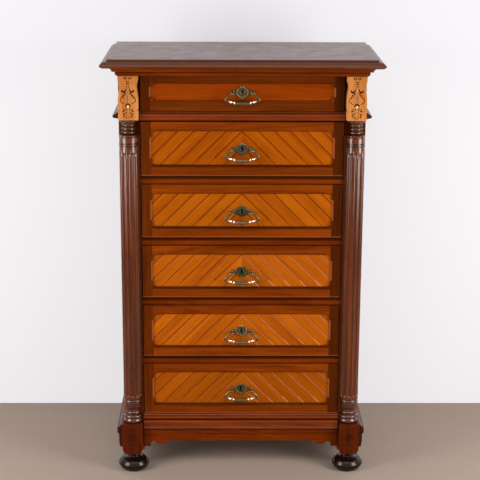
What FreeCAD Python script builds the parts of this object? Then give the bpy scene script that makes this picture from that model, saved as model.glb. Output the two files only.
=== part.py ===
import FreeCAD, Part
import math
import os
import re
import Sketcher

# A tall chest of six drawers on turned front feet, with fluted half columns at its front corners.
# Millimetres. +Z is up, the drawers open towards -Y, and +X is the right as the front is seen.
# The origin is on the floor, under the middle of the top.

DIMENSIONS = [
    # The whole chest
    ("top_width", 900, "top board, nose to nose"),
    ("top_depth", 475, "top board, front nose to back edge"),
    ("total_height", 1420, "floor to top surface"),
    ("top_thickness", 27, "top board"),
    ("foot_height", 63, "floor to underside of posts and foot blocks"),
    # Carcase
    ("case_half", 399, "centre to outer face of a side frame"),
    ("post_face", 137, "centre to front face of the front posts"),
    ("case_back", 227, "centre to back face of the case"),
    ("post_width", 68, "front post, left to right"),
    ("post_depth", 62, "front post, front to back"),
    ("rear_post_width", 40, "rear post, left to right"),
    ("rear_post_depth", 60, "rear post, front to back"),
    ("side_thickness", 22, "rails of the side frames"),
    ("side_panel", 8, "loose panels of the side frames"),
    ("tongue", 8, "depth of a panel's edge in its groove"),
    ("slack", 0.25, "play of a loose panel in its groove, each way"),
    ("back_thickness", 10, "boards of the back"),
    ("rail_face", 142, "centre to front face of the drawer rails"),
    ("rail_height", 27.5, "drawer rail, top to bottom"),
    ("runner_lip", 31, "width of the ledge that a drawer side runs on"),
    ("guide_height", 18, "strip beside a drawer side"),
    ("guide_play", 2, "drawer side to its guide"),
    # Drawers
    ("front_face", 150, "centre to front face of the drawer fronts"),
    ("front_thickness", 22, "frame of a drawer front"),
    ("front_half", 327.5, "centre to end of a drawer front"),
    ("pitch", 207, "bottom of one drawer to bottom of the next"),
    ("lowest_drawer", 205, "floor to bottom of the lowest drawer"),
    ("drawer_height", 177, "front of the five deep drawers"),
    ("frieze_drawer", 1246, "floor to bottom of the shallow top drawer"),
    ("frieze_height", 113, "front of the shallow drawer"),
    ("stile", 33, "upright of a drawer front"),
    ("top_rail", 31, "upper rail of a deep front"),
    ("bottom_rail", 36, "lower rail of a deep front"),
    ("frieze_top_rail", 26, "upper rail of the shallow front"),
    ("frieze_bottom_rail", 35, "lower rail of the shallow front"),
    ("panel_recess", 6, "front face of the frame to face of the panel"),
    ("panel_thickness", 10, "panel of a drawer front"),
    ("chamfer", 5, "stopped chamfer round a panel"),
    ("chamfer_stop", 20, "plain length left at each end of a chamfer"),
    ("ticket", 7, "radius of the rounds in the corners of the shallow panel"),
    ("board_pitch", 52, "groove to groove along a panel's top"),
    ("groove_depth", 2.5, "V groove between the boards of a panel"),
    ("box_side", 12, "side and back of a drawer box"),
    ("box_half", 325, "centre to outer face of a drawer side"),
    ("box_back", 207, "centre to back of a drawer box"),
    ("box_bottom", 6, "bottom of a drawer box"),
    ("box_drop", 10, "top of a drawer front to top of its box"),
    ("bottom_lift", 9, "bottom edge of a drawer side to its bottom board"),
    # Columns, blocks and feet
    ("column_x", 367.5, "centre to column axis"),
    ("column_y", 140.5, "centre to column axis, forwards"),
    ("column_radius", 31, "column shaft"),
    ("column_foot", 172, "floor to bottom of the columns"),
    ("column_head", 1219, "floor to top of the columns"),
    ("flute_radius", 5.5, "round of a flute"),
    ("flute_circle", 33, "column axis to the middle of a flute's round"),
    ("flute_low", 303, "floor to lower end of the flutes"),
    ("flute_high", 1100, "floor to upper end of the flutes"),
    ("flutes", 12, "flutes round a whole column"),
    ("block_depth", 38, "capital and foot blocks, front to back"),
    ("capital_x", 365.4, "centre to the middle of a capital block"),
    ("capital_width", 65, "capital block"),
    ("cornice_foot", 1362, "floor to underside of the cornice moulding"),
    ("foot_block_x", 369.3, "centre to the middle of a foot block"),
    ("foot_block_width", 70, "foot block at its top"),
    # Mouldings and apron
    ("belt_height", 1216, "floor to underside of the belt moulding"),
    ("apron_foot", 82, "floor to the lowest point of the apron"),
    ("apron_thickness", 17, "apron board"),
    ("apron_face", 147, "centre to front face of the apron"),
    # Handles and locks
    ("plate", 2.2, "thickness of a handle plate"),
    ("plate_half", 19.5, "middle of a handle plate to its side"),
    ("plate_rise", 17.5, "middle of a handle plate to its top"),
    ("post_half", 33, "centre of a handle to each of its posts"),
    ("post_drop", 1.5, "middle of a plate down to the pivots"),
    ("pivot_out", 24, "face of a panel to the pivots"),
    ("handle_post", 4.6, "radius of a handle post, across its corners"),
    ("pin_radius", 2, "pivot pin of a bail"),
    ("pin_play", 0.45, "play of a pivot pin in its post, corner to corner"),
    ("rod_radius", 3.5, "rod of a bail"),
    ("bar_drop", 32, "middle of a plate down to the middle of the bar"),
    ("bail_half", 53.5, "centre of a bail to the outside of its rod's line"),
    ("arm_end", 42, "centre of a bail to the upper end of an arm"),
    ("grip_radius", 6.2, "grip in the middle of the bar"),
    ("grip_half", 21, "half the length of the grip"),
    ("keyhole_radius", 3.3, "round of a keyhole"),
    ("keyhole_lift", 4.5, "middle of a plate up to the middle of the keyhole's round"),
    ("keyhole_drop", 7.5, "middle of a plate down to the foot of the keyhole's slot"),
    ("keyhole_slot", 3.2, "width of a keyhole's slot"),
    ("lock_width", 46, "lock case, left to right"),
    ("lock_depth", 13, "lock case, front to back"),
    ("lock_rise", 28, "middle of a plate to the top of a lock case"),
    ("bolt_width", 13, "bolt, left to right"),
    ("bolt_thickness", 3, "bolt, front to back"),
    ("bolt_set", 8.5, "back of a panel to the middle of the bolt"),
    ("bolt_play", 0.4, "clearance round a bolt"),
]
SHEET = "Dimensions"
ALIASES = {alias for alias, value, note in DIMENSIONS}
DRAWERS = 6
BACK_BOARDS = 5
V = FreeCAD.Vector
X_AXIS, Y_AXIS, Z_AXIS = V(1, 0, 0), V(0, 1, 0), V(0, 0, 1)

doc = FreeCAD.newDocument("TallChest")
sheet = doc.addObject("Spreadsheet::Sheet", SHEET)
for row, (alias, value, note) in enumerate(DIMENSIONS, start=1):
    sheet.set("A%d" % row, note)
    sheet.set("B%d" % row, str(value))
    sheet.setAlias("B%d" % row, alias)
doc.recompute()


# ---- Sizes, placing and the simple shapes ----

def expression(text):
    """The sheet's own form of a size written with plain dimension names."""
    def cell(word):
        return SHEET + "." + word.group() if word.group() in ALIASES else word.group()
    return re.sub(r"[a-z][a-z_]*", cell, str(text))


def number(text):
    return float(sheet.evalExpression(expression(text)))


def bind(feature, **sizes):
    for name, text in sizes.items():
        feature.setExpression(name.replace("__", "."), expression(text))


def place(feature, x=0, y=0, z=0):
    bind(feature, Placement__Base__x=x, Placement__Base__y=y, Placement__Base__z=z)
    return feature


def minus(text):
    return "-(%s)" % text


def box(name, x, y, z):
    """A board from its low and high sizes along each axis."""
    board = doc.addObject("Part::Box", name)
    spans = ["(%s) - (%s)" % (high, low) for low, high in (x, y, z)]
    bind(board, Length=spans[0], Width=spans[1], Height=spans[2])
    return place(board, x[0], y[0], z[0])


def arris_cutter(name, along, length, x, y, z, width):
    """A square bar turned on its edge, centred on an arris at x, y, z, to cut a chamfer there."""
    cutter = doc.addObject("Part::Box", name)
    side = "(%s) * sqrt(2)" % width
    if along == "x":
        cutter.Placement = FreeCAD.Placement(V(), FreeCAD.Rotation(X_AXIS, 45))
        bind(cutter, Length=length, Width=side, Height=side)
        return place(cutter, x, y, "(%s) - (%s)" % (z, width))
    cutter.Placement = FreeCAD.Placement(V(), FreeCAD.Rotation(Z_AXIS, 45))
    bind(cutter, Length=side, Width=side, Height=length)
    return place(cutter, x, "(%s) - (%s)" % (y, width), z)


def prism(name, sides, axis, radius, length, x, y, z):
    """A many-sided bar along an axis; the radius is to its corners."""
    bar = doc.addObject("Part::Prism", name)
    bar.Polygon = sides
    bar.Placement = FreeCAD.Placement(V(), FreeCAD.Rotation(Z_AXIS, axis))
    bind(bar, Circumradius=radius, Height=length)
    return place(bar, x, y, z)


def group(name, pieces):
    compound = doc.addObject("Part::Compound", name)
    compound.Links = list(pieces)
    return compound


def fuse(name, pieces):
    whole = doc.addObject("Part::MultiFuse", name)
    whole.Shapes = list(pieces)
    return whole


def cut(name, base, tools):
    result = doc.addObject("Part::Cut", name)
    result.Base = base
    result.Tool = tools[0] if len(tools) == 1 else group(name + "_tools", tools)
    return result


def common(name, first, second):
    result = doc.addObject("Part::MultiCommon", name)
    result.Shapes = [first, second]
    return result


def mirrored(name, source):
    """The same piece on the other side of the middle."""
    copy = doc.addObject("Part::Mirroring", name)
    copy.Source = source
    copy.Normal = X_AXIS
    return copy


# ---- Bodies drawn as sketches ----

def origin_part(body, role):
    return next(part for part in body.Origin.OriginFeatures if part.Role == role)


def new_sketch(body, role, name):
    sketch = body.newObject("Sketcher::SketchObject", body.Name + "_" + name)
    sketch.AttachmentSupport = [(origin_part(body, role), "")]
    sketch.MapMode = "FlatFace"
    return sketch


def draw_edge(sketch, start, end, bulge):
    """One edge; bulge is how far an arc's middle stands to the left of its chord. Returns its two ends."""
    if not bulge:
        edge = sketch.addGeometry(Part.LineSegment(start, end), False)
        return (edge, 1), (edge, 2)
    chord = end - start
    left = V(-chord.y, chord.x, 0).normalize()
    middle = (start + end) * 0.5 + left * bulge
    clockwise = bulge > 0
    ends = (end, start) if clockwise else (start, end)
    edge = sketch.addGeometry(Part.Arc(ends[0], middle, ends[1]), False)
    radius = (chord.Length ** 2 / 4 + bulge ** 2) / (2 * abs(bulge))
    sketch.addConstraint(Sketcher.Constraint("Radius", edge, radius))
    return ((edge, 2), (edge, 1)) if clockwise else ((edge, 1), (edge, 2))


def hold_point(sketch, end, point):
    """Constrain one end of an edge to a point, each size bound to the sheet."""
    for kind, size in zip(("DistanceX", "DistanceY"), point):
        index = sketch.addConstraint(Sketcher.Constraint(kind, -1, 1, *end, number(size)))
        sketch.setExpression("Constraints[%d]" % index, expression(size))


def outline(body, role, points, name="outline"):
    """A closed sketch through points of (x, y) or, where an arc arrives at the point, (x, y, bulge)."""
    sketch = new_sketch(body, role, name)
    spots = [V(number(point[0]), number(point[1]), 0) for point in points]
    ends = []
    for index, point in enumerate(points):
        bulge = point[2] if len(point) > 2 else 0
        ends.append(draw_edge(sketch, spots[index - 1], spots[index], bulge))
    for index, point in enumerate(points):
        arriving = ends[index][1]
        leaving = ends[(index + 1) % len(points)][0]
        sketch.addConstraint(Sketcher.Constraint("Coincident", *arriving, *leaving))
        hold_point(sketch, arriving, point)
    return sketch


def open_path(body, role, points, name="path"):
    """A sketch of straight runs from point to point."""
    sketch = new_sketch(body, role, name)
    spots = [V(number(x), number(y), 0) for x, y in points]
    for index in range(1, len(points)):
        start, end = draw_edge(sketch, spots[index - 1], spots[index], 0)
        if index == 1:
            hold_point(sketch, start, points[0])
        else:
            sketch.addConstraint(Sketcher.Constraint("Coincident", start[0] - 1, 2, *start))
        hold_point(sketch, end, points[index])
    return sketch


def new_body(name):
    return doc.addObject("PartDesign::Body", name)


def pad(body, sketch, length, symmetric=False):
    feature = body.newObject("PartDesign::Pad", body.Name + "_pad")
    feature.Profile = sketch
    bind(feature, Length=length)
    if symmetric:
        feature.SideType = "Symmetric"
    return feature


def padded(name, role, points, length, symmetric=False):
    """A body of one padded outline: XZ_Plane pads towards -Y, YZ_Plane towards +X, XY_Plane up."""
    body = new_body(name)
    pad(body, outline(body, role, points), length, symmetric)
    return body


def faceted(points):
    """The same profile with each round cut as two flats that meet at its crown."""
    flats = []
    for index, point in enumerate(points):
        if len(point) > 2:
            before = points[index - 1]
            flats.append(("((%s) + (%s)) / 2 + %s" % (before[0], point[0], point[2]),
                          "((%s) + (%s)) / 2" % (before[1], point[1])))
        flats.append(point[:2])
    return flats


def turned(name, points):
    """A body turned about +Z from points of (radius, height) or (radius, height, swell)."""
    body = new_body(name)
    feature = body.newObject("PartDesign::Revolution", name + "_turning")
    feature.Profile = outline(body, "XZ_Plane", faceted(points))
    feature.ReferenceAxis = (feature.Profile[0], ["V_Axis"])
    feature.Angle = 360
    return body


# ---- Top, cornice and mouldings ----

def moulded_slab(name, edge, half_width, front, back, x_length, y_length):
    """A slab with one moulding mitred round its front and both ends, from (out, height) points of it."""
    front_points = [("-(%s) - (%s)" % (front, out[0]),) + tuple(out[1:]) for out in edge]
    section = padded(name + "_depth", "YZ_Plane",
                     front_points + [(back, edge[-1][1]), (back, edge[0][1])], x_length, True)
    left = [("-(%s) - (%s)" % (half_width, out[0]),) + tuple(out[1:]) for out in edge]
    right = []
    for index in range(len(edge) - 1, -1, -1):
        after = edge[index + 1] if index + 1 < len(edge) else ()
        bulge = after[2:3]
        right.append(("(%s) + (%s)" % (half_width, edge[index][0]), edge[index][1]) + tuple(bulge))
    length_section = padded(name + "_length", "XZ_Plane", left + right, y_length, True)
    return common(name, section, length_section)


def top_board():
    edge = [
        (-8, "total_height - top_thickness"),
        (0, "total_height - 21"),
        (0, "total_height - 18"),
        (-18, "total_height - 7", 3),
        (-22, "total_height - 6"),
        (-22, "total_height"),
    ]
    return moulded_slab("top_board", edge, "top_width / 2", "top_depth / 2", "top_depth / 2",
                        "top_width + 20", "top_depth + 20")


def cornice_moulding():
    edge = [
        (0, "cornice_foot"),
        (3, "cornice_foot + 1"),
        (7, "cornice_foot + 6"),
        (6, "cornice_foot + 13.5", 1.5),
        (17, "cornice_foot + 15.5"),
        (22, "cornice_foot + 25", -1.5),
        (23.5, "cornice_foot + 27"),
        (23.5, "total_height - top_thickness"),
    ]
    slab = moulded_slab("cornice_slab", edge, "capital_x + capital_width / 2", "post_face + block_depth",
                        "case_back", "top_width", "top_depth + 20")
    inside = box("cornice_inside", ("-case_half", "case_half"), ("-post_face", "top_depth"),
                 ("cornice_foot - 1", "total_height"))
    return cut("cornice_moulding", slab, [inside])


def rail_moulding(name, role, profile, length, x, y):
    """A planted moulding from a profile of (projection, height), its back on the board behind it."""
    sign = "-" if role == "YZ_Plane" else ""
    points = [(sign + "(%s)" % point[0],) + tuple(point[1:]) for point in profile]
    return place(padded(name, role, points, length, role == "YZ_Plane"), x, y, 0)


def flip(profile):
    """The profile with its arcs bent the other way, for a sketch seen from behind."""
    return [point[:2] + tuple(-bulge for bulge in point[2:]) for point in profile]


def belt_mouldings():
    profile = [
        (0, "belt_height"),
        (12, "belt_height"),
        (15, "belt_height + 4"),
        (16, "belt_height + 16", 1),
        (5, "belt_height + 24", -2),
        (4, "belt_height + rail_height"),
        (0, "belt_height + rail_height"),
    ]
    ear = [
        (0, "belt_height + 1"),
        (5, "belt_height + 2.5"),
        (18, "belt_height + 5"),
        (20.5, "belt_height + 11"),
        (3, "belt_height + 23.5"),
        (0, "belt_height + 23.5"),
    ]
    front = rail_moulding("front_belt", "YZ_Plane", flip(profile), "2 * (case_half - post_width)",
                          0, "-rail_face")
    right = rail_moulding("right_belt", "XZ_Plane", ear, "case_back + post_face",
                          "case_half", "case_back")
    return group("belt_mouldings", [front, right, mirrored("left_belt", right)])


def base_mouldings():
    skirt = [
        (0, "apron_foot - 7"),
        (15.5, "apron_foot - 7"),
        (18.5, "apron_foot + 13"),
        (18.5, "apron_foot + 39"),
        (24, "apron_foot + 46"),
        (24, "apron_foot + 65"),
        (12, "apron_foot + 75", 2),
        (0, "apron_foot + 78"),
    ]
    ovolo = [(-12, 149), (15, 149), (17, 152), (12, 170, 3), (9, 172), (6, 177), (0, 177),
             (0, "%s - rail_height" % rail_top(DRAWERS)), (-12, "%s - rail_height" % rail_top(DRAWERS))]
    bead = [(0, 183), (6, 183), (9, 187), (9, 198, 2), (6, 202), (0, 202)]
    length = "2 * (case_half - post_width)"
    lower = rail_moulding("front_ovolo", "YZ_Plane", flip(ovolo), length, 0, "-rail_face")
    upper = rail_moulding("front_bead", "YZ_Plane", flip(bead), length, 0, "-rail_face")
    right = rail_moulding("right_skirt", "XZ_Plane", skirt, "case_back + post_face",
                          "case_half", "case_back")
    return group("base_mouldings", [lower, upper, right, mirrored("left_skirt", right)])


def front_apron():
    """The board under the lowest rail, cut to brackets and small drops at its ends."""
    end = "case_half - post_width"
    half = [
        (end, "apron_foot"),
        (312, "apron_foot"),
        (309, "apron_foot + 3", -1),
        (303, "apron_foot + 17", 2.5),
        (294, "apron_foot + 17", 1.5),
        (290, "apron_foot + 12"),
        (258, "apron_foot + 12", -4.5),
        (253, "apron_foot + 20"),
    ]
    right = [point[:2] + tuple(-bulge for bulge in point[2:]) for point in half]
    left = []
    for index in range(len(half) - 1, -1, -1):
        after = half[index + 1] if index + 1 < len(half) else ()
        bulge = tuple(-size for size in after[2:3])
        left.append((minus(half[index][0]), half[index][1]) + bulge)
    points = [(end, 149)] + right + left + [(minus(end), 149)]
    board = place(padded("apron_board", "XZ_Plane", points, "apron_thickness"),
                  0, "apron_thickness - apron_face", 0)
    fascia = box("apron_fascia", (minus(end), end), ("-apron_face - 3", "-apron_face + 2"), (129, 149))
    edge = arris_cutter("apron_fascia_edge", "x", "2 * case_half", "-case_half",
                        "-apron_face - 3", 129, 2)
    return fuse("front_apron", [board, cut("apron_fascia_cut", fascia, [edge])])


# ---- Carcase ----

INSIDE_SIDE = "case_half - side_thickness"
POST_INSIDE = "case_half - post_width"
POST_BACK = "post_depth - post_face"
REAR_FACE = "case_back - rear_post_depth"
CASE_TOP = "total_height - top_thickness"
PANEL_OPENINGS = [("apron_foot + 100", 1188), (1262, 1340)]


def side_panel_boxes(name, tongue, slack):
    """The two loose panels of the right side frame; the tongue and slack let them into their grooves."""
    middle = "case_half - side_thickness / 2"
    boxes = []
    for index, (low, high) in enumerate(PANEL_OPENINGS):
        boxes.append(box(
            "%s_%d" % (name, index),
            ("%s - side_panel / 2 - (%s)" % (middle, slack), "%s + side_panel / 2 + (%s)" % (middle, slack)),
            ("%s - (%s)" % (POST_BACK, tongue), "%s + (%s)" % (REAR_FACE, tongue)),
            ("%s - (%s)" % (low, tongue), "%s + (%s)" % (high, tongue))))
    return boxes


def side_frame():
    """The right side: two posts and three rails, grooved for the loose panels."""
    height = ("foot_height", CASE_TOP)
    depth = (POST_BACK, REAR_FACE)
    thickness = (INSIDE_SIDE, "case_half")
    posts = [
        box("front_post", (POST_INSIDE, "case_half"), ("-post_face", POST_BACK), height),
        box("rear_post", ("case_half - rear_post_width", "case_half"), (REAR_FACE, "case_back"), height),
    ]
    edges = ["foot_height + 12"]
    for low, high in PANEL_OPENINGS:
        edges += [low, high]
    edges.append(CASE_TOP)
    rails = [box("side_rail_%d" % index, thickness, depth, (edges[2 * index], edges[2 * index + 1]))
             for index in range(len(edges) // 2)]
    return cut("right_side_frame", group("side_members", posts + rails),
               side_panel_boxes("panel_groove", "tongue", "slack"))


def side_panels():
    right = side_panel_boxes("side_panel_board", "tongue - slack", 0)
    left = [mirrored("left_" + board.Name, board) for board in right]
    return group("side_panels", right + left)


def drawer_bottom(number_down):
    """Floor to the bottom of a drawer, counted from 1 at the top."""
    if number_down == 1:
        return "frieze_drawer"
    return "lowest_drawer + %d * pitch" % (DRAWERS - number_down)


def front_height(number_down):
    return "frieze_height" if number_down == 1 else "drawer_height"


def rail_top(number_down):
    """Floor to the top of the rail below a drawer."""
    return drawer_bottom(number_down) + " - 1.2"


def rail_bottom(number_down):
    """The rail behind the belt moulding is deeper than the others."""
    return "belt_height - 4" if number_down == 1 else "%s - rail_height" % rail_top(number_down)


def cross_rails():
    """The rails below the drawers, the top rail and the back's two rails; a mortise takes each bolt."""
    inside = (minus(POST_INSIDE), POST_INSIDE)
    rails = [box("front_rail_%d" % down, inside, ("-rail_face", POST_BACK),
                 (rail_bottom(down), rail_top(down))) for down in range(1, DRAWERS + 1)]
    rails.append(box("front_top_rail", inside, ("-post_face", POST_BACK), ("cornice_foot", CASE_TOP)))
    rear = ("case_back - back_thickness - 20", "case_back - back_thickness")
    rear_inside = ("rear_post_width - case_half", "case_half - rear_post_width")
    rails.append(box("rear_top_rail", rear_inside, rear, ("cornice_foot", CASE_TOP)))
    rails.append(box("rear_bottom_rail", rear_inside, rear, ("lowest_drawer - 55", "lowest_drawer - 15")))
    middle = BOLT_MIDDLE
    mortises = []
    for down in range(1, DRAWERS + 1):
        above = "cornice_foot" if down == 1 else rail_bottom(down - 1)
        mortises.append(box("bolt_mortise_%d" % down, ("-bolt_width / 2 - 1", "bolt_width / 2 + 1"),
                            ("%s - bolt_thickness / 2 - 1" % middle, "%s + bolt_thickness / 2 + 1" % middle),
                            ("%s - 1" % above, "%s + 12" % above)))
    return cut("cross_rails", group("plain_rails", rails), mortises)


def drawer_runners():
    """For each drawer side a bar that it slides on and a strip beside it that guides it."""
    depth = (POST_BACK, REAR_FACE)
    guide = "box_half + guide_play"
    boards = []
    for down in range(1, DRAWERS + 1):
        top = rail_top(down)
        right = [
            box("runner_%d" % down, ("%s - runner_lip" % guide, INSIDE_SIDE), depth,
                ("%s - rail_height" % top, top)),
            box("guide_%d" % down, (guide, INSIDE_SIDE), depth, (top, "%s + guide_height" % top)),
        ]
        boards += right + [mirrored("left_" + board.Name, board) for board in right]
    return group("drawer_runners", boards)


def drawer_stops():
    """Small blocks on the rails that a closing front comes up against."""
    back_of_front = "front_thickness - front_face"
    stops = []
    for down in range(1, DRAWERS + 1):
        right = box("stop_%d" % down, (180, 215), ("%s + 0.4" % back_of_front, "%s + 20" % back_of_front),
                    (rail_top(down), "%s + 7" % rail_top(down)))
        stops += [right, mirrored("left_stop_%d" % down, right)]
    return group("drawer_stops", stops)


def back_boards():
    """Upright boards between the rear posts, their edges chamfered where they meet."""
    inside = "case_half - rear_post_width"
    width = "(2 * (%s)) / %d" % (inside, BACK_BOARDS)
    boards = []
    for index in range(BACK_BOARDS):
        left = "(%s) * %d - (%s)" % (width, index, inside)
        right = "(%s) * %d - (%s)" % (width, index + 1, inside)
        points = [(left, "case_back - back_thickness"), (right, "case_back - back_thickness"),
                  (right, "case_back - 2"), ("%s - 2" % right, "case_back"),
                  ("%s + 2" % left, "case_back"), (left, "case_back - 2")]
        board = padded("back_board_%d" % (index + 1), "XY_Plane", points, "%s - 110" % CASE_TOP)
        boards.append(place(board, 0, 0, 110))
    return group("back_boards", boards)


def bottom_board():
    """The floor of the case, notched round the rear posts."""
    side = INSIDE_SIDE
    notch = "case_half - rear_post_width"
    rear = "case_back - back_thickness - 20"
    points = [(minus(side), POST_BACK), (side, POST_BACK), (side, REAR_FACE), (notch, REAR_FACE),
              (notch, rear), (minus(notch), rear), (minus(notch), REAR_FACE), (minus(side), REAR_FACE)]
    return place(padded("bottom_board", "XY_Plane", points, 12), 0, 0, "lowest_drawer - 50")


# ---- Columns, blocks and feet ----

COLUMN_PROFILE = [
    # From the foot up, as (radius, height)
    (0, "column_foot"),
    ("column_radius - 1.5", "column_foot"),
    ("column_radius", "column_foot + 3.5"),
    ("column_radius", "column_foot + 11.5"),
    ("column_radius - 3", "column_foot + 15"),
    ("column_radius", "column_foot + 18.5"),
    ("column_radius", "column_foot + 27.5"),
    ("column_radius - 3", "column_foot + 31"),
    ("column_radius - 7", "column_foot + 31"),
    ("column_radius - 7", "column_foot + 55.5"),
    ("column_radius - 1.5", "column_foot + 59"),
    ("column_radius - 1.5", "column_foot + 74"),
    ("column_radius - 3.5", "column_foot + 74"),
    ("column_radius - 1", "column_foot + 77.5"),
    ("column_radius - 1", "column_foot + 84.5"),
    ("column_radius - 3.5", "column_foot + 88"),
    ("column_radius", "column_foot + 88"),
    ("column_radius", "column_head - 58"),
    ("column_radius - 3", "column_head - 58"),
    ("column_radius - 3", "column_head - 48"),
    ("column_radius - 12", "column_head - 48"),
    ("column_radius - 9", "column_head - 44.5"),
    ("column_radius - 9", "column_head - 38.5"),
    ("column_radius - 12", "column_head - 35"),
    ("column_radius - 9", "column_head - 31.5"),
    ("column_radius - 9", "column_head - 24.5"),
    ("column_radius - 12", "column_head - 21"),
    ("column_radius - 9", "column_head - 19"),
    ("column_radius - 9", "column_head - 14"),
    ("column_radius - 3", "column_head - 10.5"),
    ("column_radius - 3", "column_head"),
    (0, "column_head"),
]


def column(name, side):
    """A turned and fluted column, its back cut flat to lie on the post."""
    body = turned(name, COLUMN_PROFILE)
    angle = math.radians(180 / number("flutes"))
    across, forward = math.sin(angle), math.cos(angle)
    flute = body.newObject("PartDesign::SubtractiveCylinder", name + "_flute")
    bind(flute, Radius="flute_radius", Height="flute_high - flute_low")
    place(flute, "flute_circle * %.9f" % across, "-flute_circle * %.9f" % forward, "flute_low")
    pattern = body.newObject("PartDesign::PolarPattern", name + "_flutes")
    pattern.Originals = [flute]
    pattern.Axis = (origin_part(body, "Z_Axis"), [""])
    pattern.Angle = 360
    bind(pattern, Occurrences="flutes")
    body.Tip = pattern
    flat = body.newObject("PartDesign::SubtractiveBox", name + "_flat")
    bind(flat, Length="4 * column_radius", Width="2 * column_radius", Height="total_height")
    place(flat, "-2 * column_radius", "column_y - post_face", 0)
    body.Tip = flat
    return place(body, side + "column_x", "-column_y", 0)


def capital_blocks():
    """Blocks over the columns, their edges nicked and rounded at the foot."""
    half = [
        ("capital_width / 2 - 10", "column_head"),
        ("capital_width / 2 - 1", "column_head + 4"),
        ("capital_width / 2", "column_head + 10"),
        ("capital_width / 2", "column_head + 24"),
        ("capital_width / 2 - 3", "column_head + 27"),
        ("capital_width / 2", "column_head + 31"),
        ("capital_width / 2", "column_head + 108"),
        ("capital_width / 2", "column_head + 116", 2.5),
        ("capital_width / 2", "cornice_foot"),
    ]
    right = place(padded("right_capital", "XZ_Plane", both_sides(half), "block_depth"),
                  "capital_x", "-post_face", 0)
    return group("capital_blocks", [right, mirrored("left_capital", right)])


def foot_blocks():
    """Blocks under the columns, drawn in towards the feet."""
    half = [
        ("foot_block_width / 2 - 9", "foot_height"),
        ("foot_block_width / 2 - 5.5", "foot_height + 4"),
        ("foot_block_width / 2 - 2.2", "foot_height + 12"),
        ("foot_block_width / 2", "foot_height + 30"),
        ("foot_block_width / 2", "column_foot - 3"),
        ("foot_block_width / 2 - 2", "column_foot"),
    ]
    right = place(padded("right_foot_block", "XZ_Plane", both_sides(half), "block_depth"),
                  "foot_block_x", "-post_face", 0)
    return group("foot_blocks", [right, mirrored("left_foot_block", right)])


def both_sides(half):
    """A closed outline from the right half of a shape that is the same on its left, from its foot up."""
    left = []
    for index in range(len(half) - 1, -1, -1):
        after = half[index + 1] if index + 1 < len(half) else ()
        left.append((minus(half[index][0]), half[index][1]) + tuple(after[2:3]))
    return list(half) + left


def feet():
    """Turned bun feet under the front posts and plain tapered ones under the rear posts."""
    profile = [
        (0, 0),
        (43, 0),
        (50, 3.8),
        (52.5, 11.5),
        (52.5, 26),
        (46, 37.5),
        (22, 45),
        (22, "foot_height"),
        (0, "foot_height"),
    ]
    right = place(turned("right_bun", profile), "column_x", "-column_y", 0)
    rear = doc.addObject("Part::Wedge", "rear_foot")
    bind(rear, Xmin=0, Xmax=44, Ymin=0, Ymax="foot_height", Zmin=0, Zmax=44,
         X2min=-6, X2max=50, Z2min=-6, Z2max=50)
    rear.Placement = FreeCAD.Placement(V(), FreeCAD.Rotation(X_AXIS, 90))
    place(rear, "case_half - 50", "case_back - 7", 0)
    pieces = [right, rear]
    return group("feet", pieces + [mirrored("left_" + piece.Name, piece) for piece in pieces])


# ---- Drawers ----

PANEL_FACE = "panel_recess - front_face"
PANEL_BACK = "panel_recess + panel_thickness - front_face"
BOLT_MIDDLE = "panel_recess + panel_thickness + bolt_set - front_face"
FRAME_BACK = "front_thickness - front_face"
OPENING_HALF = "(front_half - stile)"
# Half of the line that a bail's rod follows: along the bar, round the corner and up the arm
BAIL_LINE = [
    (0, "-bar_drop"),
    ("grip_half", "0.8 - bar_drop"),
    ("grip_half + 19", "3 - bar_drop"),
    ("bail_half - 3", "7 - bar_drop"),
    ("bail_half", "14 - bar_drop"),
    ("arm_end + 3", "-post_drop - 5"),
    ("arm_end", "-post_drop"),
]


def panel_span(down):
    """The low and high edge of the opening in a drawer's front."""
    bottom = drawer_bottom(down)
    if down == 1:
        return (bottom + " + frieze_bottom_rail", "%s + frieze_height - frieze_top_rail" % bottom)
    return (bottom + " + bottom_rail", "%s + drawer_height - top_rail" % bottom)


def key_height(down):
    low, high = panel_span(down)
    return "((%s) + (%s)) / 2 + %s" % (low, high, -1 if down == 1 else -4)


def keyhole(name, down, front, back):
    """The cutter for a keyhole: a round with a slot under it."""
    key = key_height(down)
    hole = prism(name + "_round", 10, Y_AXIS, "keyhole_radius", "(%s) - (%s)" % (back, front), 0, front,
                 key + " + keyhole_lift")
    slot = box(name + "_slot", ("-keyhole_slot / 2", "keyhole_slot / 2"), (front, back),
               ("%s - keyhole_drop" % key, "%s + keyhole_lift" % key))
    return [hole, slot]


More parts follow.
